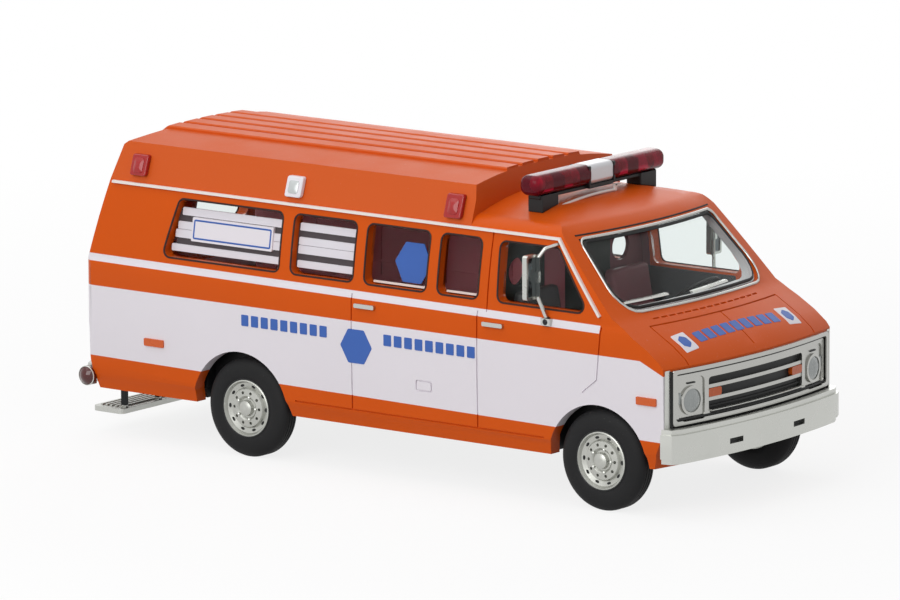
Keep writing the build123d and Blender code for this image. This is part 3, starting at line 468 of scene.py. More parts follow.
class Wardrobe:
    """Every finish of the model, built on first use."""

    finishes = {finish.name: finish for finish in (
        ShellPaint("orange_shell", "d5560d", roughness=0.32, ior=1.24, ripple=0.006, dust=0.1),
        Finish("orange_roof", "cf5511", roughness=0.46, ior=1.37, ripple=0.008, dust=0.1),
        Finish("rail_print", "ebe3de", roughness=0.4),
        Finish("silver_white", "d3d3d6", roughness=0.3, metallic=0.35),
        Finish("louvre_white", "e4e1e8", roughness=0.5),
        Finish("print_blue", "3f66b4", roughness=0.38, ripple=0.004, dust=0.0),
        Finish("print_white", "e9e4ea", roughness=0.38, ripple=0.004),
        Finish("mauve_interior", "7a4a50", roughness=0.5, ripple=0.01),
        # The partition: mauve, a panel, and painted shade behind the right seat
        PartitionPaintedShade("partition_tones_and_shade", "7a4a50", roughness=0.5, ripple=0.01),
        # Painted light: a lighter copy of the mauve interior, so that the load area, in shade behind the
        # windows, looks lit
        Finish("load_interior_painted_light", "d07a84", roughness=0.55, ripple=0.01),
        # Painted light: a pale tone for the edge of the clear screen moulding, which catches the light
        Finish("edge_painted_glint", "c4bfc1", roughness=0.45),
        # Painted shade: a darker copy of the mauve interior for the right seat, standing in for the shade
        # that falls on it
        Finish("seat_painted_shade", "363334", roughness=0.55, ripple=0.01),
        # Painted shade: the dark grey of the plate behind the louvre slats, for the shade in their gaps
        Finish("louvre_gap_painted_shade", "4b4447", roughness=0.6),
        StepPaint("step_paint", "c2c3be", roughness=0.3, metallic=0.85, ripple=0.006),
        Finish("dash_grey", "45484b", roughness=0.5, ripple=0.01),
        Finish("black_plastic", "191a1b", roughness=0.45, ripple=0.01),
        Finish("line_dark", "2c1712", roughness=0.5, ripple=0.0, dust=0.0),
        Finish("plating", "b3b3af", roughness=0.2, metallic=1.0, ripple=0.006, smudge=0.15, dust=0.1),
        Finish("plating_bright", "c2c3be", roughness=0.24, metallic=1.0, ripple=0.006, smudge=0.15, dust=0.1),
        Finish("silver_paint", "b4b4b2", roughness=0.34, metallic=0.85, ripple=0.006),
        Finish("wheel_paint", "b9bab4", roughness=0.32, metallic=0.75, ripple=0.01, tint=0.1, smudge=0.2),
        Finish("lamp_glass", "8f9392", roughness=0.15, metallic=0.6, coat=1.0, ripple=0.01),
        Finish("lamp_clear", "c4c8c8", roughness=0.3, metallic=0.3, coat=0.5),
        Finish("lamp_pink", "e0a6a8", roughness=0.2, metallic=0.4, coat=0.6),
        Finish("mirror_glass", "565b5d", roughness=0.12, metallic=0.9, ripple=0.004),
        Finish("amber_lens", "d25a16", roughness=0.25, coat=0.4),
        Finish("red_lens", "a81c1c", roughness=0.2, coat=0.4),
        Finish("tail_red", "4f100d", roughness=0.12, coat=0.6),
        ClearPlastic("red_dome", "8a0f2a", roughness=0.14, transmission=0.62, ior=1.24),
        ClearPlastic("clear_glazing", "f4f8f7", roughness=0.02, transmission=1.0, tint=0.0, ior=1.15,
                     ripple=0.001, smudge=0.03, dust=0.1),
        Finish("tyre_rubber", "1b1b1c", roughness=0.62, ripple=0.008, ior=1.3, dust=0.12),
    )}

    def __init__(self) -> None:
        """Build the shared effects and start with no material made."""
        self.effects = Effects()
        self.made: dict[str, bpy.types.Material] = {}

    def get(self, name: str) -> bpy.types.Material:
        """Find a material, and build it the first time.

        Args:
            name: the finish's name.

        Returns:
            Its material.
        """
        if name not in self.made:
            self.made[name] = self.finishes[name].build(self.effects)
        return self.made[name]


def circle_through(points: Sequence[Pair]) -> Spot:
    """Find the circle through three points.

    Args:
        points: three points as (across, up).

    Returns:
        Its centre, across and up, and its radius: the centre is where the two lines of equal
        distance meet.
    """
    first, second, third = np.array(points, float)
    rows = 2 * np.array([second - first, third - first])
    right = np.array([second @ second - first @ first, third @ third - first @ first])
    centre = np.linalg.solve(rows, right)
    return (*centre, float(np.linalg.norm(first - centre)))


@dataclass(frozen=True)
class Skin:
    """The outer skin of the body, as the drawing gives it, in stations and heights."""

    bow: float = -34.0
    nose_heights: tuple[float, ...] = (7.4, 12.5, 12.95, 13.85, 15.65, 16.1, 22.0, 22.75)
    nose_stations: tuple[float, ...] = (26.2, 26.2, 25.85, 24.7, 21.7, 20.9, 15.25, 14.4)
    flank: tuple[Pair, ...] = ((11.62, 7.0), (11.7, 10.5), (11.68, 14.8))
    tumblehome: tuple[Pair, ...] = ((11.5, 15.4), (11.05, 18.9), (10.42, 22.0))
    rear_heights: tuple[float, ...] = (4.1, 6.8, 9.3, 10.2, 14.8, 15.5, 22.1)
    rear_stations: tuple[float, ...] = (-34.6, -35.35, -35.5, -36.0, -36.05, -35.45, -33.85)

    def half_width(self, height: np.ndarray) -> np.ndarray:
        """Half width of the body at a height: an arc below the belt and an arc above it.

        Args:
            height: heights over the floor.

        Returns:
            The half widths, with a straight shoulder between the arcs.
        """
        arcs = []
        for points in (self.flank, self.tumblehome):
            across, up, radius = circle_through(points)
            arcs.append(across + np.sqrt(np.maximum(radius ** 2 - (height - up) ** 2, 0.0)))
        widths, heights = zip(self.flank[-1], self.tumblehome[0])
        shoulder = np.interp(height, heights, widths)
        return np.select([height < heights[0], height < heights[1]], [arcs[0], shoulder], arcs[1])

    def side(self, side: int, places: np.ndarray, lift: float = 0.0) -> np.ndarray:
        """Carry drawing points (station, height) onto the side skin.

        Args:
            side: -1 for the right side and 1 for the left.
            places: points of the side view, one to a row.
            lift: how far above the skin, in millimetres.

        Returns:
            Points in millimetres: the station runs along X, and Y is the half width there.
        """
        station, height = places.T
        return np.stack([MID + station, side * (self.half_width(height) + lift), height], axis=1)

    def front(self, places: np.ndarray, lift: float = 0.0) -> np.ndarray:
        """Carry drawing points (y, height) onto the nose and screen, which are turned about the bow.

        The radius about the upright axis at the bow's station follows the nose line, so X is
        that axis plus the root of radius squared less y squared.

        Args:
            places: points of the front view, one to a row.
            lift: how far ahead of the skin, in millimetres.

        Returns:
            Points in millimetres.
        """
        y, height = places.T
        radius = np.interp(height, self.nose_heights, self.nose_stations) - self.bow + lift
        return np.stack([MID + self.bow + np.sqrt(radius ** 2 - y ** 2), y, height], axis=1)

    def bonnet(self, places: np.ndarray, lift: float = 0.0) -> np.ndarray:
        """Carry drawing points (station, y) onto the bonnet.

        The height follows the nose line at the point's distance from the bow's axis.

        Args:
            places: points of the top view, one to a row.
            lift: how far above the skin, in millimetres.

        Returns:
            Points in millimetres.
        """
        station, y = places.T
        away = np.hypot(station - self.bow, y) + self.bow
        height = np.interp(away, self.nose_stations[::-1], self.nose_heights[::-1])
        return np.stack([MID + station, y, height + lift], axis=1)

    def rear(self, places: np.ndarray, lift: float = 0.0) -> np.ndarray:
        """Carry drawing points (y, height) onto the rear end, whose station follows its lean.

        Args:
            places: points of the rear view, one to a row.
            lift: how far behind the skin, in millimetres.

        Returns:
            Points in millimetres.
        """
        y, height = places.T
        station = np.interp(height, self.rear_heights, self.rear_stations) - lift
        return np.stack([MID + station, y, height], axis=1)


def unit(rows: np.ndarray) -> np.ndarray:
    """Scale each row to a length of one."""
    return rows / np.linalg.norm(rows, axis=1, keepdims=True)


def rounded_outline(corners: Sequence[Sequence[float]], radii: float | Sequence[float], steps: int = 6,
                    between: int = 6) -> np.ndarray:
    """Round the corners of a polygon.

    Each corner becomes an arc that touches both its sides: the tangent length is the radius
    times the cotangent of half the corner's angle, and straight stretches get points between.

    Args:
        corners: the polygon's corners in order.
        radii: one radius, or one for each corner.
        steps: points along each arc.
        between: points along each straight stretch.

    Returns:
        The closed outline, one point to a row.
    """
    spots = np.array(corners, float)
    radius = np.broadcast_to(np.asarray(radii, float), len(spots))[:, None]
    back = unit(np.roll(spots, 1, axis=0) - spots)
    ahead = unit(np.roll(spots, -1, axis=0) - spots)
    half = np.arccos(np.clip((back * ahead).sum(axis=1, keepdims=True), -1, 1)) / 2
    centre = spots + unit(back + ahead) * radius / np.sin(half)
    start = spots + back * radius / np.tan(half) - centre
    end = spots + ahead * radius / np.tan(half) - centre
    share = np.linspace(0, 1, steps)[None, :, None]
    turn = np.pi - 2 * half[:, :, None]
    arcs = (np.sin((1 - share) * turn) * start[:, None] + np.sin(share * turn) * end[:, None]) / np.sin(turn)
    arcs = arcs + centre[:, None]
    run = np.linspace(0, 1, between + 2)[None, 1:-1, None]
    straights = arcs[:, -1:, :] * (1 - run) + np.roll(arcs, -1, axis=0)[:, :1, :] * run
    return np.concatenate([arcs, straights], axis=1).reshape(-1, 2)


def box_outline(start: float, end: float, low: float, high: float, radius: float = 0.1, between: int = 6
                ) -> np.ndarray:
    """The rounded outline of an upright box between two places and two heights.

    Args:
        start: place of one side.
        end: place of the other side.
        low: height of the foot.
        high: height of the head.
        radius: of the corners, held under 0.45 of the shorter side.
        between: points along each straight stretch.

    Returns:
        The closed outline, one point to a row.
    """
    limit = 0.45 * min(abs(end - start), high - low)
    return rounded_outline([(start, low), (start, high), (end, high), (end, low)], min(radius, limit),
                           between=between)


def circle(centre: Pair, radius: float | Pair, count: int) -> np.ndarray:
    """Points round a centre: one radius gives a circle, and two give an oval."""
    turn = np.linspace(0, 2 * np.pi, count, endpoint=False)
    return np.array(centre) + np.array(radius) * np.stack([np.cos(turn), np.sin(turn)], axis=1)


def oval(wide: float, tall: float, count: int = 10) -> np.ndarray:
    """A closed oval profile of a given width and height."""
    return circle((0.0, 0.0), (wide / 2, tall / 2), count)


def level_line(half: float, height: float, count: int) -> np.ndarray:
    """Points of a level line that reaches as far to both sides of the middle."""
    return np.stack([np.linspace(-half, half, count), np.full(count, height)], axis=1)


def dome(rise: float) -> Callable[[np.ndarray, np.ndarray], np.ndarray]:
    """A relief that falls from its rise with the square of the share of the way out."""
    return lambda flat, share: rise * (1 - share ** 2)


def grid_faces(rows: int, columns: int, wrap_rows: bool = False, wrap_columns: bool = False) -> np.ndarray:
    """Quads of a grid of points numbered row by row, closed in the directions that wrap.

    A quad's corners are a point, the next one in its row, and the same two a row further on.

    Args:
        rows: number of rows.
        columns: points in a row.
        wrap_rows: whether the last row joins the first.
        wrap_columns: whether a row's last point joins its first.

    Returns:
        The numbers of each quad's four points.
    """
    down = np.arange(rows if wrap_rows else rows - 1)[:, None]
    along = np.arange(columns if wrap_columns else columns - 1)[None, :]
    below, beside = (down + 1) % rows, (along + 1) % columns
    corners = [row * columns + column
               for row, column in ((down, along), (down, beside), (below, beside), (below, along))]
    return np.stack(corners, axis=-1).reshape(-1, 4)


def filled(outline: np.ndarray, rings: int = 3) -> Shell:
    """Fill a closed outline with rings about its middle.

    A point is the middle plus a share of the way to the outline, and the middle itself is one
    point that closes the pole.

    Args:
        outline: closed outline, one point to a row.
        rings: number of rings, with the outline as the last.

    Returns:
        The flat points and the faces.
    """
    middle = outline.mean(axis=0)
    share = np.linspace(0, 1, rings + 1)[1:, None, None]
    points = np.concatenate([middle[None], (middle + share * (outline - middle)).reshape(-1, 2)])
    count = len(outline)
    ring = np.arange(count)
    fan = np.stack([np.zeros(count, int), 1 + ring, 1 + (ring + 1) % count], axis=1)
    quads = grid_faces(rings, count, wrap_columns=True) + 1
    return points, fan.tolist() + quads[:, ::-1].tolist()


def carried(path: np.ndarray, normal: np.ndarray, profile: np.ndarray, closed: bool = True) -> Shell:
    """Carry a closed profile along a path.

    At each point of the path the profile's first axis lies along tangent cross normal, and its
    second along the normal, so a point is path + across * first + normal * second.

    Args:
        path: the path's points.
        normal: the surface normal at each of them.
        profile: closed profile as (across, out).
        closed: whether the path returns to its start; if not, both ends are capped.

    Returns:
        The points and the faces.
    """
    tangent = np.roll(path, -1, axis=0) - np.roll(path, 1, axis=0) if closed else np.gradient(path, axis=0)
    normal = unit(normal)
    across = np.cross(unit(tangent), normal)
    points = path[:, None] + across[:, None] * profile[None, :, :1] + normal[:, None] * profile[None, :, 1:]
    rows, columns = len(path), len(profile)
    faces = grid_faces(rows, columns, closed, True).tolist()
    if not closed:
        end = [(rows - 1) * columns + corner for corner in reversed(range(columns))]
        faces += [list(range(columns)), end]
    return points.reshape(-1, 3), faces


def bead(surface: Surface, flat: np.ndarray, profile: np.ndarray, lift: float = 0.0, closed: bool = True
         ) -> Shell:
    """Carry a profile along a flat drawing's line that lies on a surface at a lift."""
    path = surface(flat, lift)
    return carried(path, surface(flat, 1.0) - path, profile, closed)


def turned(profile: np.ndarray, count: int = 72) -> Shell:
    """Turn a closed profile (radius, y) about the Y axis.

    A point is radius times cosine and sine of the angle in X and Z, with y kept.

    Args:
        profile: closed profile, one point to a row.
        count: steps round the axis.

    Returns:
        The points and the faces.
    """
    angle = np.linspace(0, 2 * np.pi, count, endpoint=False)[:, None]
    radius, along = profile[None, :, 0], profile[None, :, 1]
    points = np.stack([radius * np.cos(angle), np.broadcast_to(along, (count, len(profile))),
                       radius * np.sin(angle)], axis=-1)
    return points.reshape(-1, 3), grid_faces(count, len(profile), True, True).tolist()


def moved(shell: Shell, place: Sequence[float]) -> Shell:
    """A shell with its points moved by a place."""
    return shell[0] + np.array(place), shell[1]


def slab(outline: np.ndarray, surface: Surface, top: float, bottom: float, rings: int = 3,
         relief: Callable[[np.ndarray, np.ndarray], np.ndarray] = dome(0.0)) -> Shell:
    """A closed thin plate that follows a surface.

    A point of the upper face is surface(flat point, top + relief), one of the lower face
    surface(flat point, bottom), and a rim joins the two outlines.

    Args:
        outline: the plate's outline on the flat drawing.
        surface: carries flat points and a lift onto the surface.
        top: lift of the upper face in millimetres.
        bottom: lift of the lower face.
        rings: rings of points between the middle and the outline.
        relief: added lift of the upper face, from the flat points and their share of the way out.

    Returns:
        The points and the faces.
    """
    flat, faces = filled(outline, rings)
    share = np.concatenate([[0.0], np.repeat(np.arange(1, rings + 1) / rings, len(outline))])
    points = [surface(flat, top + relief(flat, share)), surface(flat, np.full(len(flat), bottom))]
    count, ring = len(flat), np.arange(len(outline))
    edge, after = (count - len(outline) + corner for corner in (ring, (ring + 1) % len(outline)))
    rim = np.stack([edge, after, after + count, edge + count], axis=1)
    under = [[corner + count for corner in reversed(face)] for face in faces]
    return np.concatenate(points), faces + under + rim.tolist()


def brick(centre: Sequence[float], size: Sequence[float]) -> Shell:
    """A plain block: its corners are the centre plus or minus half of each size.

    Args:
        centre: its middle.
        size: its size along each axis.

    Returns:
        The points and the faces.
    """
    signs = np.array([(x, y, z) for x in (-1, 1) for y in (-1, 1) for z in (-1, 1)], float)
    faces = [[0, 1, 3, 2], [4, 6, 7, 5], [0, 4, 5, 1], [2, 3, 7, 6], [0, 2, 6, 4], [1, 5, 7, 3]]
    return np.array(centre) + signs * np.array(size) / 2, faces


def ball(centre: Sequence[float], radius: float, rings: int = 12, count: int = 24) -> Shell:
    """A ball: radius times (cos u cos v, sin u, cos u sin v), with u from pole to pole."""
    turn = np.linspace(-np.pi / 2, np.pi / 2, rings + 1)
    return moved(turned(radius * np.stack([np.cos(turn), np.sin(turn)], axis=1), count), centre)


@dataclass
class Workshop:
    """Puts finishes on CAD nodes and turns numpy surfaces into pieces."""

    nodes: dict
    wardrobe: Wardrobe
    merge: float = 1e-7
    flat_angle: float = 0.2

    def dress(self, mesh: bpy.types.Mesh, finish: str) -> None:
        """Give a mesh its one material."""
        mesh.materials.clear()
        mesh.materials.append(self.wardrobe.get(finish))

    @staticmethod
    def soften(work: bmesh.types.BMesh, angle: float, mesh: bpy.types.Mesh) -> None:
        """Shade faces smoothly across edges flatter than an angle in degrees, and write the mesh back.

        Args:
            work: the faces being edited, which are freed.
            angle: edges flatter than this many degrees are smooth.
            mesh: the mesh that they are written to.
        """
        for edge in work.edges:
            edge.smooth = len(edge.link_faces) == 2 and edge.calc_face_angle(0) < math.radians(angle)
        for face in work.faces:
            face.smooth = True
        work.to_mesh(mesh)
        work.free()

    def settle(self, name: str, mesh: bpy.types.Mesh, finish: str, body: Body
               ) -> bpy.types.Object:
        """Make a mesh an object with its material and body.

        Args:
            name: the piece's name.
            mesh: its mesh.
            finish: name of its finish.
            body: the body it rides on.

        Returns:
            The piece.
        """
        self.dress(mesh, finish)
        piece = bpy.data.objects.new(name, mesh)
        bpy.context.scene.collection.objects.link(piece)
        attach(piece, body.value)
        LOG.info("%s: %d faces", name, len(mesh.polygons))
        return piece

    def polish(self, node: str, finish: str, slot: Slot, bevel: float, body: Body = Body.VAN,
               angle: float = 28.0) -> None:
        """Replace a CAD node by a copy with smooth curves and softly rounded edges.

        Args:
            node: the CAD node.
            finish: name of its finish.
            slot: its material slot in the record; not used.
            bevel: width of the rounding in millimetres.
            body: the body it rides on.
            angle: edges sharper than this many degrees are rounded.
        """
        mesh = self.nodes[node].data.copy()
        work = bmesh.new()
        work.from_mesh(mesh)
        bmesh.ops.remove_doubles(work, verts=work.verts, dist=self.merge)
        bmesh.ops.dissolve_limit(work, angle_limit=math.radians(self.flat_angle), verts=work.verts,
                                 edges=work.edges, use_dissolve_boundaries=False)
        self.soften(work, angle, mesh)
        piece = self.settle(f"{node}_finished", mesh, finish, body)
        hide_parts(node)
        if bevel:
            rounding = piece.modifiers.new("rounding", "BEVEL")
            rounding.width = bevel * MM
            rounding.segments = 2
            rounding.limit_method = "ANGLE"
            rounding.angle_limit = math.radians(angle)
            rounding.harden_normals = True

    def piece(self, name: str, shells: Sequence[Shell], finish: str, slot: Slot, body: Body = Body.VAN,
              angle: float = 35.0, replaces: str = "") -> None:
        """Make one piece of closed shells given in millimetres.

        Args:
            name: the piece's name.
            shells: points and faces of each shell.
            finish: name of its finish.
            slot: its material slot in the record; not used.
            body: the body it rides on.
            angle: edges flatter than this many degrees are shaded smoothly.
            replaces: the CAD node that it stands in for, if any.
        """
        starts = np.cumsum([0] + [len(points) for points, _ in shells])
        points = np.concatenate([points for points, _ in shells]) * MM
        faces = [[corner + int(start) for corner in face]
                 for (_, shell), start in zip(shells, starts) for face in shell]
        mesh = bpy.data.meshes.new(name)
        mesh.from_pydata(points.tolist(), [], faces)
        work = bmesh.new()
        work.from_mesh(mesh)
        bmesh.ops.remove_doubles(work, verts=work.verts, dist=self.merge)
        bmesh.ops.recalc_face_normals(work, faces=work.faces)
        self.soften(work, angle, mesh)
        made = self.settle(name, mesh, finish, body)
        if replaces:
            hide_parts(replaces)


@dataclass
class Glazing:
    """Window surrounds, the louvres and the blank sign behind the rear windows, and the screen's ring."""

    shop: Workshop
    skin: Skin
    # Stations of each side window: lower rear, upper rear, upper front, lower front
    windows: tuple[Box, ...] = (
        (-27.5, -26.1, -14.9, -14.9), (-13.7, -13.7, -7.05, -7.05), (-5.9, -5.95, 0.65, 0.6),
        (1.75, 1.75, 6.0, 6.0), (8.0, 7.8, 13.75, 17.4))
    low: float = 16.2
    high: float = 21.2
    corner: float = 0.6
    line: Pair = (0.17, 0.14)
    # Depth of the side glass under the skin, and how far a plate's inner face lies in it
    glass_depth: float = 0.8
    bedding: float = 0.02
    # The pale line at a window's foot: its inset, and its two heights over the window's lower edge
    foot: Spot = (0.45, 0.12, 0.3)
    # Heights of each slat, then for each window its rear and front ends, reach and lean of the slats
    slats: tuple[Pair, ...] = ((19.75, 20.4), (18.58, 19.22), (17.85, 18.54), (16.7, 17.3))
    slat_ends: tuple[Box, ...] = (
        (-26.3, -15.05, 0.85, 0.28), (-13.5, -7.25, 0.0, 0.0))
    sign: Box = (-24.9, -16.2, 17.7, 19.7)
    # How thick each plate on the glass is: foot line, shade (the dark backing of painted shade behind the
    # slats), slat and sign
    thick: Box = (0.09, 0.05, 0.16, 0.3)
    # How far a shade, the dark backing of painted shade, reaches past its slats at the rear and elsewhere
    shade_margin: Pair = (0.3, 0.1)
    # The sign's border: its profile, its inset and its lift over the glass
    border: Pair = (0.16, 0.06)
    border_inset: float = 0.25
    border_lift: float = 0.28
    # The screen's half widths at foot and head, its heights and its corner radii
    foot_half: float = 10.05
    head_half: float = 9.1
    screen_low: float = 16.25
    screen_high: float = 21.8
    screen_corners: Box = (1.7, 0.7, 0.7, 1.7)
    # Profiles of the ring, the seal, the head line and the lining
    ring: Pair = (0.28, 0.22)
    seal: Pair = (0.3, 0.16)
    head_line: Pair = (0.2, 0.12)
    lining: Pair = (0.1, 1.4)
    # Lifts of the ring, the seal and the head line
    screen_lifts: Spot = (0.02, -0.16, -0.01)
    # Size of the seal's and the lining's outline as a share of the screen's
    seal_share: Pair = (0.965, 0.9)
    lining_share: Pair = (0.997, 0.99)
    lining_back: float = 1.1
    # How far the head line lies outside the screen, to the sides and upwards
    head_margin: Pair = (0.1, 0.24)
    # Distance of a rear window's two sides from the middle
    rear_window: Pair = (0.9, 8.3)

    def side_lines(self) -> None:
        """A dark line round the outer edge of each side window, and a pale one at its foot."""
        inset, bottom, top = self.foot
        dark, pale = [], []
        for side in SIDES:
            for low_rear, high_rear, high_front, low_front in self.windows:
                flat = rounded_outline([(low_rear, self.low), (high_rear, self.high), (high_front, self.high),
                                        (low_front, self.low)], self.corner)
                dark.append(bead(partial(self.skin.side, side), flat, oval(*self.line)))
            for low_rear, _, _, low_front in self.windows[2:4]:
                strip = box_outline(low_rear + inset, low_front - inset, self.low + bottom, self.low + top)
                pale.append(self.plate(side, strip, self.thick[0]))
        self.shop.piece("window_lines", dark, "line_dark", Slot.BLACK)
        self.shop.piece("window_foot_lines", pale, "rail_print", Slot.PRINT)

    def plate(self, side: int, outline: np.ndarray, thick: float) -> Shell:
        """A thin plate on the outer face of the sunk side glass."""
        base = -self.glass_depth - self.bedding
        return slab(outline, partial(self.skin.side, side), base + thick, base)

    def louvres(self) -> None:
        """White slats on the glass of the two rear side windows, a dark plate behind them that is painted
        shade in the gaps between the slats, and the blank sign over the first.

        The first window's rear edge leans, so its slats start further forward as they rise.
        """
        _, shade_thick, slat_thick, sign_thick = self.thick
        start, end, low, high = self.sign
        inset = self.border_inset
        wide, narrow = self.shade_margin
        slats, backs, signs, borders = [], [], [], []
        for side in SIDES:
            for rear, front, reach, lean in self.slat_ends:
                shade = box_outline(rear - wide, front + narrow, self.slats[-1][0] + narrow,
                                    self.slats[0][1] - narrow)
                # The dark shade plate is painted shade between the slats
                backs.append(self.plate(side, shade, shade_thick))
                for bottom, top in self.slats:
                    slat = box_outline(rear - reach + lean * (bottom - self.low), front, bottom, top)
                    slats.append(self.plate(side, slat, slat_thick))
            signs.append(self.plate(side, box_outline(start, end, low, high), sign_thick))
            inner = box_outline(start + inset, end - inset, low + inset, high - inset)
            borders.append(bead(partial(self.skin.side, side), inner, oval(*self.border),
                                self.border_lift - self.glass_depth))
        self.shop.piece("louvre_painted_shade_backs", backs, "louvre_gap_painted_shade", Slot.INTERIOR)
        self.shop.piece("louvre_slats", slats, "louvre_white", Slot.PRINT)
        self.shop.piece("blank_signs", signs, "print_white", Slot.PRINT)
        self.shop.piece("sign_borders", borders, "print_blue", Slot.PRINT)

    def screen_ring(self) -> None:
        """The silver ring of the screen, the black seal inside it and the dark line over its head.

        The opening's edge runs straight back from the skin, and a pale lining follows it: painted light, for
        the pale edge of the clear moulding, which catches the light there.
        """
        front = self.skin.front
        flat = rounded_outline([(-self.foot_half, self.screen_low), (-self.head_half, self.screen_high),
                                (self.head_half, self.screen_high), (self.foot_half, self.screen_low)],
                               self.screen_corners, between=24)
        middle = np.array([0.0, (self.screen_low + self.screen_high) / 2])
        seal, edge = (middle + (flat - middle) * share for share in (self.seal_share, self.lining_share))
        # The lining is painted light: a pale band for the lit edge of the clear moulding
        lining = front(edge) - np.array([self.lining_back, 0.0, 0.0])
        forward = np.broadcast_to(np.array([1.0, 0.0, 0.0]), lining.shape)
        head = level_line(self.head_half + self.head_margin[0], self.screen_high + self.head_margin[1], 40)
        ring_lift, seal_lift, head_lift = self.screen_lifts
        head_line = bead(front, head, oval(*self.head_line), head_lift, False)
        lining = carried(lining, forward, oval(*self.lining))
        for name, shell, finish, slot in (
                ("screen_ring", bead(front, flat, oval(*self.ring), ring_lift), "plating", Slot.PLATING),
                ("screen_seal", bead(front, seal, oval(*self.seal), seal_lift), "black_plastic", Slot.BLACK),
                ("screen_edge_painted_glint", lining, "edge_painted_glint", Slot.INTERIOR),
                ("screen_head_line", head_line, "line_dark", Slot.BLACK)):
            self.shop.piece(name, [shell], finish, slot)

    def rear_lines(self) -> None:
        """A dark line round each of the two rear door windows."""
        shells = []
        for side in SIDES:
            inner, outer = (side * y for y in self.rear_window)
            flat = rounded_outline([(inner, self.low), (inner, self.high), (outer, self.high),
                                    (outer, self.low)], self.corner)
            shells.append(bead(self.skin.rear, flat, oval(*self.line)))
        self.shop.piece("rear_window_lines", shells, "line_dark", Slot.BLACK)

    def build(self) -> None:
        """Make every part of the glazing that the eye needs."""
        self.side_lines()
        self.louvres()
        self.screen_ring()
        self.rear_lines()


@dataclass
class CabLining:
    """Dark door cards and mauve pillar covers on the inner wall of the cab."""

    shop: Workshop
    skin: Skin
    lift: float = -1.19
    thick: float = 0.06
    # Each piece's name and finish, and its plates by start and end station, low and high edge
    plates: tuple[tuple[str, str, tuple[Box, ...]], ...] = (
        ("door_cards", "dash_grey", ((6.95, 16.4, 9.6, 16.0),)),
        ("pillar_covers", "mauve_interior", ((6.95, 7.65, 16.0, 21.9), (7.65, 13.2, 21.35, 22.0))))

    def build(self) -> None:
        """Thin plates that follow the skin just inside the moulding's inner wall."""
        for name, finish, boxes in self.plates:
            shells = [slab(box_outline(*box), partial(self.skin.side, side), self.lift,
                           self.lift - self.thick, rings=4) for side in SIDES for box in boxes]
            self.shop.piece(name, shells, finish, Slot.INTERIOR)


@dataclass
class Livery:
    """Plain blue prints: rows of blocks and a plain emblem shape on each side and on the bonnet."""

    shop: Workshop
    skin: Skin
    rows: tuple[Pair, ...] = ((-18.7, -9.6), (-3.6, 5.9))
    row_heights: Pair = (11.3, 12.25)
    blocks: int = 9
    gap: float = 0.3
    # Station and height of each emblem, its radius, and the lifts of its two faces
    emblems: tuple[tuple[float, float, float, float, float], ...] = (
        (-6.5, 10.9, 1.65, 0.035, -0.05), (-1.45, 18.3, 1.9, -0.74, -0.82))
    # Lifts of a print's outer and inner face on the sides, and of the inner one on the bonnet
    lift: float = 0.035
    foot: float = -0.05
    bonnet_foot: float = -0.06
    block_corner: float = 0.08
    emblem_corner: float = 0.15
    # Station, distance from the middle and half size of each square, and the radius of its shape
    bonnet_squares: Spot = (23.95, 7.2, 0.85)
    bonnet_emblem: float = 0.6
    bonnet_row: Box = (23.45, 24.45, -5.6, 5.6)

    def hexagon(self, centre: Pair, radius: float) -> np.ndarray:
        """A hexagon with a flat top and slightly rounded corners."""
        return rounded_outline(circle(centre, radius, 6), self.emblem_corner, 3, 3)

    def row(self, start: float, end: float, low: float, high: float) -> list[np.ndarray]:
        """A row of plain blocks between two ends, with the same gap between them all.

        Args:
            start: where the row starts.
            end: where it ends.
            low: the blocks' low edge.
            high: their high edge.

        Returns:
            The blocks' outlines.
        """
        edges = np.linspace(start, end + self.gap, self.blocks + 1)
        return [box_outline(first, after - self.gap, low, high, self.block_corner)
                for first, after in zip(edges[:-1], edges[1:])]

    def sides(self) -> None:
        """The rows and the emblem on both flanks, and the emblem on the side door's glass."""
        shells = []
        for side in SIDES:
            flank = partial(self.skin.side, side)
            for start, end in self.rows:
                shells += [slab(block, flank, self.lift, self.foot)
                           for block in self.row(start, end, *self.row_heights)]
            shells += [slab(self.hexagon((station, height), radius), flank, top, bottom)
                       for station, height, radius, top, bottom in self.emblems]
        self.shop.piece("side_prints", shells, "print_blue", Slot.PRINT)

    def bonnet(self) -> None:
        """White squares with a blue shape at both sides of the bonnet and a row of blocks between."""
        station, y, half = self.bonnet_squares
        start, end, near, far = self.bonnet_row
        squares, shapes = [], []
        for side in SIDES:
            corners = box_outline(station - half, station + half, side * y - half, side * y + half, 0.1)
            squares.append(slab(corners, self.skin.bonnet, self.lift, self.bonnet_foot))
            emblem = self.hexagon((station, side * y), self.bonnet_emblem)
            shapes.append(slab(emblem, self.skin.bonnet, self.lift * 1.8, 0.0))
        shapes += [slab(block[:, ::-1], self.skin.bonnet, self.lift, self.bonnet_foot)
                   for block in self.row(near, far, start, end)]
        self.shop.piece("bonnet_squares", squares, "print_white", Slot.PRINT)
        self.shop.piece("bonnet_prints", shapes, "print_blue", Slot.PRINT)

    def build(self) -> None:
        """Make every print."""
        self.sides()
        self.bonnet()


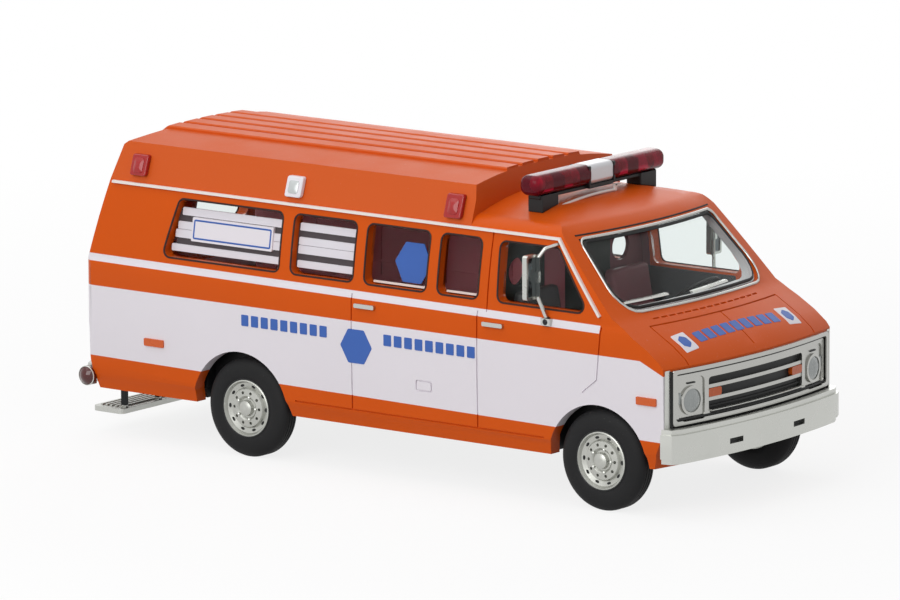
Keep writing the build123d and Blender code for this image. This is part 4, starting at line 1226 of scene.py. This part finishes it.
@dataclass
class Nose:
    """Lamp lenses, the dark lines of the chrome face, some of them painted shade, and the dark slots of the
    bumper.
    """

    shop: Workshop
    skin: Skin
    # The opening's half width, its low and high edge, its corner radius and the line inside its rim, which is
    # painted shade in the gap there
    face: Spot = (10.68, 8.16, 11.94)
    face_corner: float = 0.25
    rim_painted_shade: Pair = (0.24, 0.24)
    lamp_y: float = 8.55
    lamp_height: float = 9.6
    lamp_radius: float = 0.95
    # Near and far edge from the middle, low and high edge of the plates on each side
    lamp_plate: Box = (7.06, 10.04, 8.02, 11.48)
    lamp_mark: Box = (8.1, 9.0, 11.0, 11.12)
    # The next plate is a dark line of painted shade beside the bright corner band
    corner_painted_shade: Box = (10.9, 10.98, 7.5, 12.3)
    corner_rim: Box = (10.98, 11.56, 7.4, 12.4)
    # The grey oval beside the lamp: its place and its size
    lamp_oval: Pair = (9.85, 9.9)
    oval_size: Pair = (0.36, 1.0)
    # A flute's width and depth, and the rise of the lens between its rim and its middle
    flute_pitch: float = 0.24
    flute_depth: float = 0.03
    bulge: float = 0.16
    # Low and high edge and half width of each dark line under the opening; the lower one is painted shade in
    # the recess there
    dark_lines: tuple[Spot, ...] = ((7.36, 7.72, 10.6), (8.28, 8.38, 6.4))
    # Corner radius and lifts of those lines
    line_form: Spot = (0.04, 0.1, -0.2)
    # Height and half width of each bright rib, then their lift and profile
    ribs: tuple[Pair, ...] = ((7.92, 10.3), (8.48, 6.4))
    rib_lift: float = 0.12
    rib_profile: Pair = (0.16, 0.36)
    # The place and the size of the plate behind a slot of the bumper
    slot_back: Spot = (26.72, 4.4, 5.85)
    slot_size: Spot = (0.12, 1.9, 0.6)

    def plates(self, box: Box, radius: float, top: float, bottom: float, between: int = 6, rings: int = 3
               ) -> list[Shell]:
        """A plate of the face on each side.

        Args:
            box: near and far edge from the middle, low and high edge.
            radius: of its corners.
            top: lift of its outer face.
            bottom: lift of its inner face.
            between: points along each straight stretch of its outline.
            rings: rings of points between its middle and its outline.

        Returns:
            The two plates.
        """
        near, far, low, high = box
        return [slab(box_outline(side * near, side * far, low, high, radius, between), self.skin.front, top,
                     bottom, rings) for side in SIDES]

    def relief(self, flat: np.ndarray, share: np.ndarray) -> np.ndarray:
        """A lens's bulge, with flutes across y that fade out at the rim."""
        flutes = np.cos(2 * np.pi * flat[:, 0] / self.flute_pitch) * (1 - share ** 6)
        return dome(self.bulge)(flat, share) + self.flute_depth * flutes

    def build(self) -> None:
        """Make every part of the nose that the eye needs.

        A bright plate round each lamp closes its well, and a small grey oval lies beside the lamp.
        A bright upright band fills each corner of the body, with a dark line of painted shade beside it; a
        dark line of painted shade runs inside the bright rim, and dark lines and bright ribs lie under the
        opening, the lower dark line being painted shade in the recess there.
        """
        front = self.skin.front
        half, low, high = self.face
        lenses = [slab(circle((side * self.lamp_y, self.lamp_height), self.lamp_radius, 56), front, 0.03,
                       -0.1, rings=12, relief=self.relief) for side in SIDES]
        ovals = [slab(oval(*self.oval_size, 24) + (side * self.lamp_oval[0], self.lamp_oval[1]), front, 0.0,
                      -0.2) for side in SIDES]
        opening = box_outline(-half, half, low, high, self.face_corner, 30)
        # Painted shade: a dark line inside the rim round the opening
        lines = [bead(front, opening, oval(*self.rim_painted_shade))]
        radius, outer, inner = self.line_form
        # Dark lines under the opening; the lower one is painted shade in the recess
        lines += [slab(box_outline(-wide, wide, bottom, top, radius, 30), front, outer, inner)
                  for bottom, top, wide in self.dark_lines]
        lines += self.plates(self.lamp_mark, 0.04, 0.02, -0.3)
        # A dark line of painted shade beside each bright corner band
        lines += self.plates(self.corner_painted_shade, 0.03, 0.25, -0.1)
        ridges = [bead(front, level_line(wide, height, 60), oval(*self.rib_profile), self.rib_lift, False)
                  for height, wide in self.ribs]
        station, slot_y, height = self.slot_back
        backs = [brick((MID + station, side * slot_y, height), self.slot_size) for side in SIDES]
        self.shop.piece("lamp_lenses", lenses, "lamp_glass", Slot.LENS, angle=70.0)
        for name, shells, finish, slot in (
                ("lamp_plates", self.plates(self.lamp_plate, 0.45, -0.08, -0.25, 10, 8),
                 "plating", Slot.PLATING),
                ("lamp_side_ovals", ovals, "lamp_glass", Slot.LENS),
                ("corner_rims", self.plates(self.corner_rim, 0.12, 0.06, -0.1, 10, 4),
                 "plating_bright", Slot.PLATING),
                ("nose_lines_and_painted_shade", lines, "black_plastic", Slot.BLACK),
                ("nose_ridges", ridges, "plating_bright", Slot.PLATING),
                ("bumper_slot_backs", backs, "black_plastic", Slot.BLACK)):
            self.shop.piece(name, shells, finish, slot)


@dataclass
class RoofFittings:
    """The roof's ribs, the lenses of its lamps and what the light bar holds."""

    shop: Workshop
    ribs: tuple[float, ...] = (-4.22, -2.11, 0.0, 2.11, 4.22)
    rib_half: float = 0.78
    rib_lift: float = 0.26
    rib_bevel: Pair = (0.09, 0.1)
    rib_foot: float = -0.3
    # First and last station and number of points of each run of a rib, and its lean for each mm across
    rib_runs: tuple[tuple[float, float, int], ...] = ((-32.9, -31.4, 12), (-31.0, 4.19, 24))
    rib_lean: float = 0.012
    # Points across the roof, of which the arc is made, and its line along
    roof_arc: tuple[Pair, ...] = ((-5.0, 25.85), (0.0, 26.0), (5.0, 25.85))
    roof_stations: tuple[float, ...] = (-33.1, -31.5, -24.0, -4.0, 4.19)
    roof_heights: tuple[float, ...] = (25.0, 26.15, 26.6, 26.6, 26.3)
    # Half width and height of the side wall's foot, its lean, and what a lift adds across
    wall_foot: Pair = (10.4, 22.1)
    wall_lean: float = 0.328
    wall_slant: float = 1.05
    # Name, finish and slot of each kind of pane, its rise, half height and corner radius, and its places
    panes: tuple[tuple[str, str, Slot, Spot, tuple[Pair, ...]], ...] = (
        ("scene_lamp_glass", "lamp_clear", Slot.LENS, (0.1, 0.52, 0.2), ((-14.0, 23.4),)),
        ("marker_lenses", "red_lens", Slot.RED, (0.16, 0.62, 0.25), ((2.75, 23.5), (-30.75, 23.55))))
    # Half length of a pane, and the lifts of its two faces
    pane_half: float = 0.5
    pane_lifts: Pair = (0.5, 0.3)
    # The light bar's station and lamps, then the dark blocks by distance from the middle, height and size
    bar: float = 9.3
    bar_middle: float = 25.6
    bar_lamps: Pair = (3.2, 7.9)
    lamp_section: tuple[Pair, ...] = (
        (0.0, 0.0), (0.32, 0.06), (0.5, 0.2), (0.56, 0.42), (0.5, 0.5), (0.0, 0.55))
    blocks: tuple[tuple[float, float, Spot], ...] = (
        (5.1, 25.5, (1.5, 0.25, 1.1)), (5.2, 24.98, (1.5, 6.4, 0.2)), (1.68, 25.55, (2.0, 0.22, 1.6)),
        (0.0, 24.62, (1.8, 3.3, 0.3)))
    # The rail: its station, its two ends, its height in the middle, its fall for each mm squared across,
    # its profile, and its upright and top like the blocks above
    rail_station: float = 10.25
    rail_ends: Pair = (-5.7, 1.9)
    rail_height: float = 23.98
    rail_sag: float = 0.012
    rail_profile: Pair = (0.26, 0.24)
    rail_bricks: tuple[tuple[float, float, Spot], ...] = (
        (1.8, 24.15, (0.26, 0.26, 0.55)), (2.1, 24.36, (0.26, 0.8, 0.14)))

    def wall(self, side: int, flat: np.ndarray, lift: float) -> np.ndarray:
        """Carry drawing points onto the raised roof's side wall, which leans in evenly from its foot.

        Args:
            side: -1 for the right side and 1 for the left.
            flat: points (station, height), one to a row.
            lift: how far out of the wall, in millimetres.

        Returns:
            Points in millimetres.
        """
        station, height = flat.T
        across = self.wall_foot[0] - self.wall_lean * (height - self.wall_foot[1]) + self.wall_slant * lift
        return np.stack([MID + station, side * across, height], axis=1)

    def roof_ribs(self) -> None:
        """Five flat ribs along the roof: a bevelled profile carried from the rear lean to the front edge.

        A rib lies on the lower of the roof's arc across and its line along.
        """
        half, top = self.rib_half, self.rib_lift
        narrow, low = half - self.rib_bevel[0], top - self.rib_bevel[1]
        profile = np.array([(-half, self.rib_foot), (half, self.rib_foot), (half, low), (narrow, top),
                            (-narrow, top), (-half, low)])
        station = np.concatenate([np.linspace(*run) for run in self.rib_runs])
        _, up, radius = circle_through(self.roof_arc)
        shells = []
        for y in self.ribs:
            height = np.minimum(up + math.sqrt(radius ** 2 - y ** 2),
                                np.interp(station, self.roof_stations, self.roof_heights))
            path = np.stack([MID + station, np.full_like(station, y), height], axis=1)
            normal = np.stack([-np.gradient(height, station), np.full_like(station, y * self.rib_lean),
                               np.ones_like(station)], axis=1)
            shells.append(carried(path, normal, profile, closed=False))
        self.shop.piece("roof_ribs", shells, "orange_roof", Slot.SHELL)

    def lamps(self) -> None:
        """A silver glass in each white lamp, and a raised middle on each red one."""
        for name, finish, slot, (rise, tall, radius), places in self.panes:
            shells = [slab(box_outline(station - self.pane_half, station + self.pane_half, height - tall,
                                       height + tall, radius),
                           partial(self.wall, side), *self.pane_lifts, relief=dome(rise))
                      for side in SIDES for station, height in places]
            self.shop.piece(name, shells, finish, slot)

    def bar_parts(self) -> None:
        """Round lamps, dark dividers and a dark floor inside the two domes, and the pale rail.

        The rail runs from the right foot to past the middle, with a short upright and top.
        """
        along, inward = np.array(self.lamp_section).T
        station = MID + self.bar
        round_lamps = [moved(turned(np.stack([along, side * (y - inward)], axis=1), 40),
                             (station, 0.0, self.bar_middle)) for side in SIDES for y in self.bar_lamps]
        dark = [brick((station, y, height), size)
                for across, height, size in self.blocks for y in sorted({side * across for side in SIDES})]
        across = np.linspace(*self.rail_ends, 24)
        front = MID + self.rail_station
        path = np.stack([np.full_like(across, front), across, self.rail_height - self.rail_sag * across ** 2],
                        axis=1)
        upward = np.tile([0.0, 0.0, 1.0], (len(path), 1))
        rail = [carried(path, upward, oval(*self.rail_profile), closed=False)]
        rail += [brick((front, y, height), size) for y, height, size in self.rail_bricks]
        self.shop.piece("bar_lamps", round_lamps, "lamp_pink", Slot.LENS)
        self.shop.piece("bar_dark_parts", dark, "black_plastic", Slot.BLACK)
        self.shop.piece("bar_rail", rail, "rail_print", Slot.WHITE)

    def build(self) -> None:
        """Make every fitting of the roof."""
        self.roof_ribs()
        self.lamps()
        self.bar_parts()


@dataclass
class RunningGear:
    """Tyres with rounded shoulders and a grooved tread, and the dark lines and nuts of the wheels."""

    shop: Workshop
    face: float = 11.45
    width: float = 2.1
    section: tuple[Pair, ...] = (
        (2.42, 0.15), (2.6, 0.06), (2.95, 0.0), (3.35, 0.02), (3.7, 0.08), (3.98, 0.24), (4.14, 0.42),
        (4.2, 0.56), (4.2, 0.68), (4.12, 0.7), (4.12, 0.76), (4.2, 0.78), (4.2, 1.0), (4.12, 1.02))
    # The black ring between rim and tyre: its radius, how far in it lies, and its profile's radii
    gap_line: Box = (2.47, 0.13, 0.09, 0.1)
    # Number, distance from the axle, radius, stretch, lift and crown of the holes and of the nuts
    holes: tuple[float, ...] = (10, 1.93, 0.11, 1.8, -0.33, 0.0)
    nuts: tuple[float, ...] = (5, 0.98, 0.13, 1.0, -0.02, 0.08)

    def tyre(self, side: int) -> Shell:
        """One tyre: half a section, mirrored about the middle of its width, turned about the axle.

        Args:
            side: -1 for the right side and 1 for the left.

        Returns:
            The points and the faces.
        """
        half = np.array(self.section)
        profile = np.concatenate([half, (0.0, self.width) + half[::-1] * (1.0, -1.0)])
        profile[:, 1] = side * (self.face - self.width + profile[:, 1])
        return turned(profile, 96)

    def dark_line(self, side: int) -> Shell:
        """A black ring in the gap between the wheel's rim and the tyre.

        Args:
            side: -1 for the right side and 1 for the left.

        Returns:
            The points and the faces.
        """
        radius, inward, across, deep = self.gap_line
        return turned(circle((radius, side * (self.face - inward)), (across, side * deep), 8))

    def studs(self, side: int, count: int, distance: float, size: float, stretch: float, out: float,
              crown: float) -> list[Shell]:
        """Small round plates on a circle of the wheel's face.

        Plate k is the first one turned about the axle by k times a full turn over their number.

        Args:
            side: -1 for the right side and 1 for the left.
            count: number of plates.
            distance: of their middles from the axle.
            size: their radius.
            stretch: how much longer they are the way of the circle.
            out: how far in front of the face they end.
            crown: rise of their middles.

        Returns:
            The plates.
        """
        def face(points: np.ndarray, rise: np.ndarray | float) -> np.ndarray:
            """Carry flat points to their distance in front of the wheel's face."""
            across = np.broadcast_to(side * (self.face + out + rise), len(points))
            return np.stack([points[:, 0], across, points[:, 1]], axis=1)

        plate = circle((distance, 0.0), (size, stretch * size), 12)
        ways = [(math.cos(angle), math.sin(angle)) for angle in np.arange(count) * 2 * np.pi / count]
        return [slab(plate @ np.array([(along, up), (-up, along)]), face, 0.0, -0.25, rings=2,
                     relief=dome(crown)) for along, up in ways]

    def build(self) -> None:
        """Make the tyres and the wheels' details on both axles."""
        for body, station, place in ((Body.FRONT, HALF_BASE, "front"), (Body.REAR, -HALF_BASE, "rear")):
            hub = (MID + station, 0.0, WHEEL_HEIGHT)
            dark, bright = [], []
            for side, name in SIDES.items():
                self.shop.piece(f"grooved_tyre_{place}_{name}", [moved(self.tyre(side), hub)], "tyre_rubber",
                                Slot.TYRE, body, angle=40.0, replaces=f"tyre_{place}_{name}")
                dark += [moved(shell, hub)
                         for shell in (self.dark_line(side), *self.studs(side, *self.holes))]
                bright += [moved(shell, hub) for shell in self.studs(side, *self.nuts)]
            self.shop.piece(f"wheel_dark_lines_{place}", dark, "black_plastic", Slot.BLACK, body)
            self.shop.piece(f"wheel_nuts_{place}", bright, "plating_bright", Slot.PLATING, body)


@dataclass
class SideFittings:
    """Mirror glasses, the black feet of the mirror tubes, and the tail lamps' lenses and rims."""

    shop: Workshop
    # Middle and size of the glass in a mirror
    mirror: Spot = (12.425, 12.75, 18.95)
    mirror_size: Spot = (0.27, 1.1, 3.2)
    foot: Spot = (13.3, 11.62, 15.2)
    foot_radius: float = 0.42
    # Station, height and radius of a tail lamp, its distance from the middle, and its lens's rise
    tail: tuple[float, ...] = (-35.6, 5.1, 0.8, 11.8, 0.42)
    tail_rim: Pair = (0.1, 0.16)

    def build(self) -> None:
        """Dark glass in both faces of each mirror, a domed lens and rim on each tail lamp, and the feet."""
        station, height, radius, start, rise = self.tail
        outline = circle((station, height), radius, 48)

        def outward(side: int, points: np.ndarray, lift: np.ndarray | float) -> np.ndarray:
            """Carry drawing points to the tail lamp's face on a side."""
            across = np.broadcast_to(side * (start + lift), len(points))
            return np.stack([MID + points[:, 0], across, points[:, 1]], axis=1)

        for name, finish, slot, shape in (
                ("mirror_glasses", "mirror_glass", Slot.PLATING, lambda side: brick(
                    (MID + self.mirror[0], side * self.mirror[1], self.mirror[2]), self.mirror_size)),
                ("tail_lenses", "tail_red", Slot.RED, lambda side: slab(
                    outline, partial(outward, side), 0.0, -0.1, rings=8, relief=dome(rise))),
                ("tail_rims", "plating_bright", Slot.PLATING, lambda side: bead(
                    partial(outward, side), outline, oval(*self.tail_rim))),
                ("mirror_feet", "black_plastic", Slot.BLACK, lambda side: ball(
                    (MID + self.foot[0], side * self.foot[1], self.foot[2]), self.foot_radius))):
            self.shop.piece(name, [shape(side) for side in SIDES], finish, slot)


@dataclass
class Coachwork:
    """The CAD nodes themselves: which are polished and which keep their own mesh."""

    shop: Workshop
    # Each finish and the nodes that wear it and keep their mesh
    plain: tuple[tuple[str, str], ...] = (
        ("clear_glazing", "glass_right glass_left windscreen glass_rear"), ("partition_tones_and_shade", "partition"),
        ("black_plastic", "steering_wheel chassis grille_insert"), ("lamp_glass", "headlamps"),
        ("silver_paint", "exhaust axle_front axle_rear"), ("amber_lens", "turn_signals side_markers"),
        ("tail_red", "tail_lamps"), ("rail_print", "drip_rail_right drip_rail_left"),
        # The cabin floor wears the lighter painted-light copy of the mauve interior
        ("plating_bright", "door_handles wipers"), ("load_interior_painted_light", "cabin_floor"),
        ("tyre_rubber", "tyre_front_right tyre_front_left tyre_rear_right tyre_rear_left"))
    # Node, finish, slot and width of the rounding of its edges
    polished: tuple[tuple[str, str, Slot, float], ...] = (
        ("body_shell", "orange_shell", Slot.SHELL, 0.05),
        ("raised_roof", "orange_roof", Slot.SHELL, 0.09),
        ("front_bumper", "plating_bright", Slot.PLATING, 0.06),
        ("rear_bumper", "plating_bright", Slot.PLATING, 0.05),
        ("grille_frame", "plating", Slot.PLATING, 0.03),
        ("siren_speaker", "silver_white", Slot.WHITE, 0.08),
        ("light_bar_base", "black_plastic", Slot.BLACK, 0.08),
        ("roof_markers", "red_lens", Slot.RED, 0.12),
        ("scene_lamps", "print_white", Slot.LENS, 0.1),
        ("mirror_right", "plating_bright", Slot.PLATING, 0.03),
        ("mirror_left", "plating_bright", Slot.PLATING, 0.03),
        ("rear_step", "step_paint", Slot.METAL, 0.03),
        # The right seat wears the darker painted-shade copy of the mauve interior; the left seat keeps the
        # mauve
        ("seat_right", "seat_painted_shade", Slot.INTERIOR, 0.2),
        ("seat_left", "mauve_interior", Slot.INTERIOR, 0.2),
        ("dashboard", "dash_grey", Slot.BLACK, 0.12),
        ("light_dome_right", "red_dome", Slot.DOME, 0.0),
        ("light_dome_left", "red_dome", Slot.DOME, 0.0))
    wheel_bevel: float = 0.03

    def build(self) -> None:
        """Dress every CAD node."""
        for finish, nodes in self.plain:
            for node in nodes.split():
                self.shop.dress(self.shop.nodes[node].data, finish)
        for node, finish, slot, bevel in self.polished:
            self.shop.polish(node, finish, slot, bevel)
        for body, place in ((Body.FRONT, "front"), (Body.REAR, "rear")):
            for side in SIDES.values():
                self.shop.polish(f"wheel_{place}_{side}", "wheel_paint", Slot.PLATING, self.wheel_bevel, body)


@dataclass
class Studio:
    """The floor, the lamps, the world and the camera."""

    azimuth: float = 37.565
    elevation: float = 10.595
    roll: float = -0.268
    distance: float = 751.3
    focal_pixels: float = 8953.7
    frame_width: float = 900.0
    sensor: float = 36.0
    clip: Pair = (0.01, 20.0)
    target: Spot = (-0.597, 0.0, 13.149)
    floor_half: float = 3000.0
    floor_tone: str = "fafafa"
    floor_bounce: str = "b4b4b4"
    floor_rough: float = 0.9
    floor_shine: float = 0.1
    # Distances between which the floor fades, how far it has faded near the model, and the sky's level
    fade: Pair = (50.0, 150.0)
    glow: float = 0.82
    sky: float = 0.44
    # Name, place, side and power of each lamp, and the height at which they look
    lamps: tuple[tuple[str, Spot, float, float], ...] = (
        ("top_soft", (-80.0, -40.0, 270.0), 300.0, 0.26),
        ("side_soft", (30.0, -300.0, 150.0), 220.0, 0.5),
        ("back_soft", (-120.0, 280.0, 120.0), 200.0, 0.15))
    aim: float = 12.0

    @staticmethod
    def stand(name: str, data: bpy.types.ID | None, axes: Sequence[np.ndarray]) -> bpy.types.Object:
        """Add an object that stands in a given way.

        Args:
            name: its name.
            data: what it holds.
            axes: its three axes and its place, in metres.

        Returns:
            The object.
        """
        thing = bpy.data.objects.new(name, data)
        bpy.context.scene.collection.objects.link(thing)
        matrix = np.eye(4)
        matrix[:3] = np.stack(axes, axis=1)
        thing.matrix_world = Matrix(matrix.tolist())
        return thing

    def camera(self) -> None:
        """Place the camera on its line of sight, at the photographed angle."""
        around, up, turn = (math.radians(angle) for angle in (self.azimuth, self.elevation, self.roll))
        back = np.array([math.sin(around) * math.cos(up), -math.cos(around) * math.cos(up), math.sin(up)])
        right = np.array([math.cos(around), math.sin(around), 0.0])
        above = np.cross(back, right)
        side = math.cos(turn) * right + math.sin(turn) * above
        top = math.cos(turn) * above - math.sin(turn) * right
        data = bpy.data.cameras.new("camera")
        data.sensor_width = self.sensor
        data.lens = self.focal_pixels / self.frame_width * self.sensor
        data.clip_start, data.clip_end = self.clip
        place = (np.array(self.target) + back * self.distance) * MM
        bpy.context.scene.camera = self.stand("camera", data, (side, top, back, place))

    def lamp(self, name: str, place: Sequence[float], size: float, power: float) -> None:
        """Add a square soft light that looks at the model.

        Args:
            name: the lamp's name.
            place: its position in millimetres.
            size: its side in millimetres.
            power: its power in watts.
        """
        data = bpy.data.lights.new(name, "AREA")
        data.size = size * MM
        data.energy = power
        spot = np.array(place) * MM
        away = spot - (0.0, 0.0, self.aim * MM)
        away /= np.linalg.norm(away)
        side = np.cross([0.0, 0.0, 1.0], away)
        side /= np.linalg.norm(side)
        self.stand(name, data, (side, np.cross(away, side), away, spot))

    def floor(self) -> None:
        half = self.floor_half * MM
        mesh = bpy.data.meshes.new("floor")
        mesh.from_pydata([(-half, -half, 0), (half, -half, 0), (half, half, 0), (-half, half, 0)], [],
                         [(0, 1, 2, 3)])
        material, wiring, shader = wired_material("floor_card")
        seen = wiring.seen()
        tone = wiring.blend(seen, colour(self.floor_bounce), colour(self.floor_tone))
        wiring.feed(shader, {"Roughness": self.floor_rough, "Specular IOR Level": self.floor_shine,
                             "Base Color": tone})
        place = wiring.add("ShaderNodeTexCoord")["Object"]
        away = wiring.add("ShaderNodeVectorMath", {0: place}, operation="LENGTH")["Value"]
        far = wiring.ramp(away, self.fade[0] * MM, self.fade[1] * MM, self.glow)
        wiring.mix_surface(wiring.calc("MULTIPLY", far, seen), wiring.add("ShaderNodeEmission")[0])
        mesh.materials.append(material)
        card = bpy.data.objects.new("floor", mesh)
        bpy.context.scene.collection.objects.link(card)

    def world(self) -> None:
        """A soft even sky that the camera and every reflection see as white."""
        world = bpy.data.worlds.new("sky")
        bpy.context.scene.world = world
        world.use_nodes = True
        wiring = Wiring(world.node_tree)
        level = wiring.ramp(wiring.seen(), 0.0, 1.0, self.sky)
        wiring.feed(world.node_tree.nodes["Background"], {"Strength": level, "Color": (1.0, 1.0, 1.0, 1.0)})

    def build(self) -> None:
        """Set up everything round the model."""
        bpy.context.scene.view_settings.view_transform = "Standard"
        self.camera()
        self.world()
        self.floor()
        for name, place, size, power in self.lamps:
            self.lamp(name, place, size, power)


def main() -> None:
    """Load the frame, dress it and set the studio."""
    logging.basicConfig(level=logging.INFO, format="%(name)s %(message)s")
    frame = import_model()
    shop, skin = Workshop(frame["nodes"], Wardrobe()), Skin()
    for assembly in (Coachwork(shop), Glazing(shop, skin), CabLining(shop, skin), Livery(shop, skin),
                     Nose(shop, skin), RoofFittings(shop), RunningGear(shop), SideFittings(shop), Studio()):
        assembly.build()
        LOG.info("%s done", type(assembly).__name__)


if __name__ == "__main__":
    main()
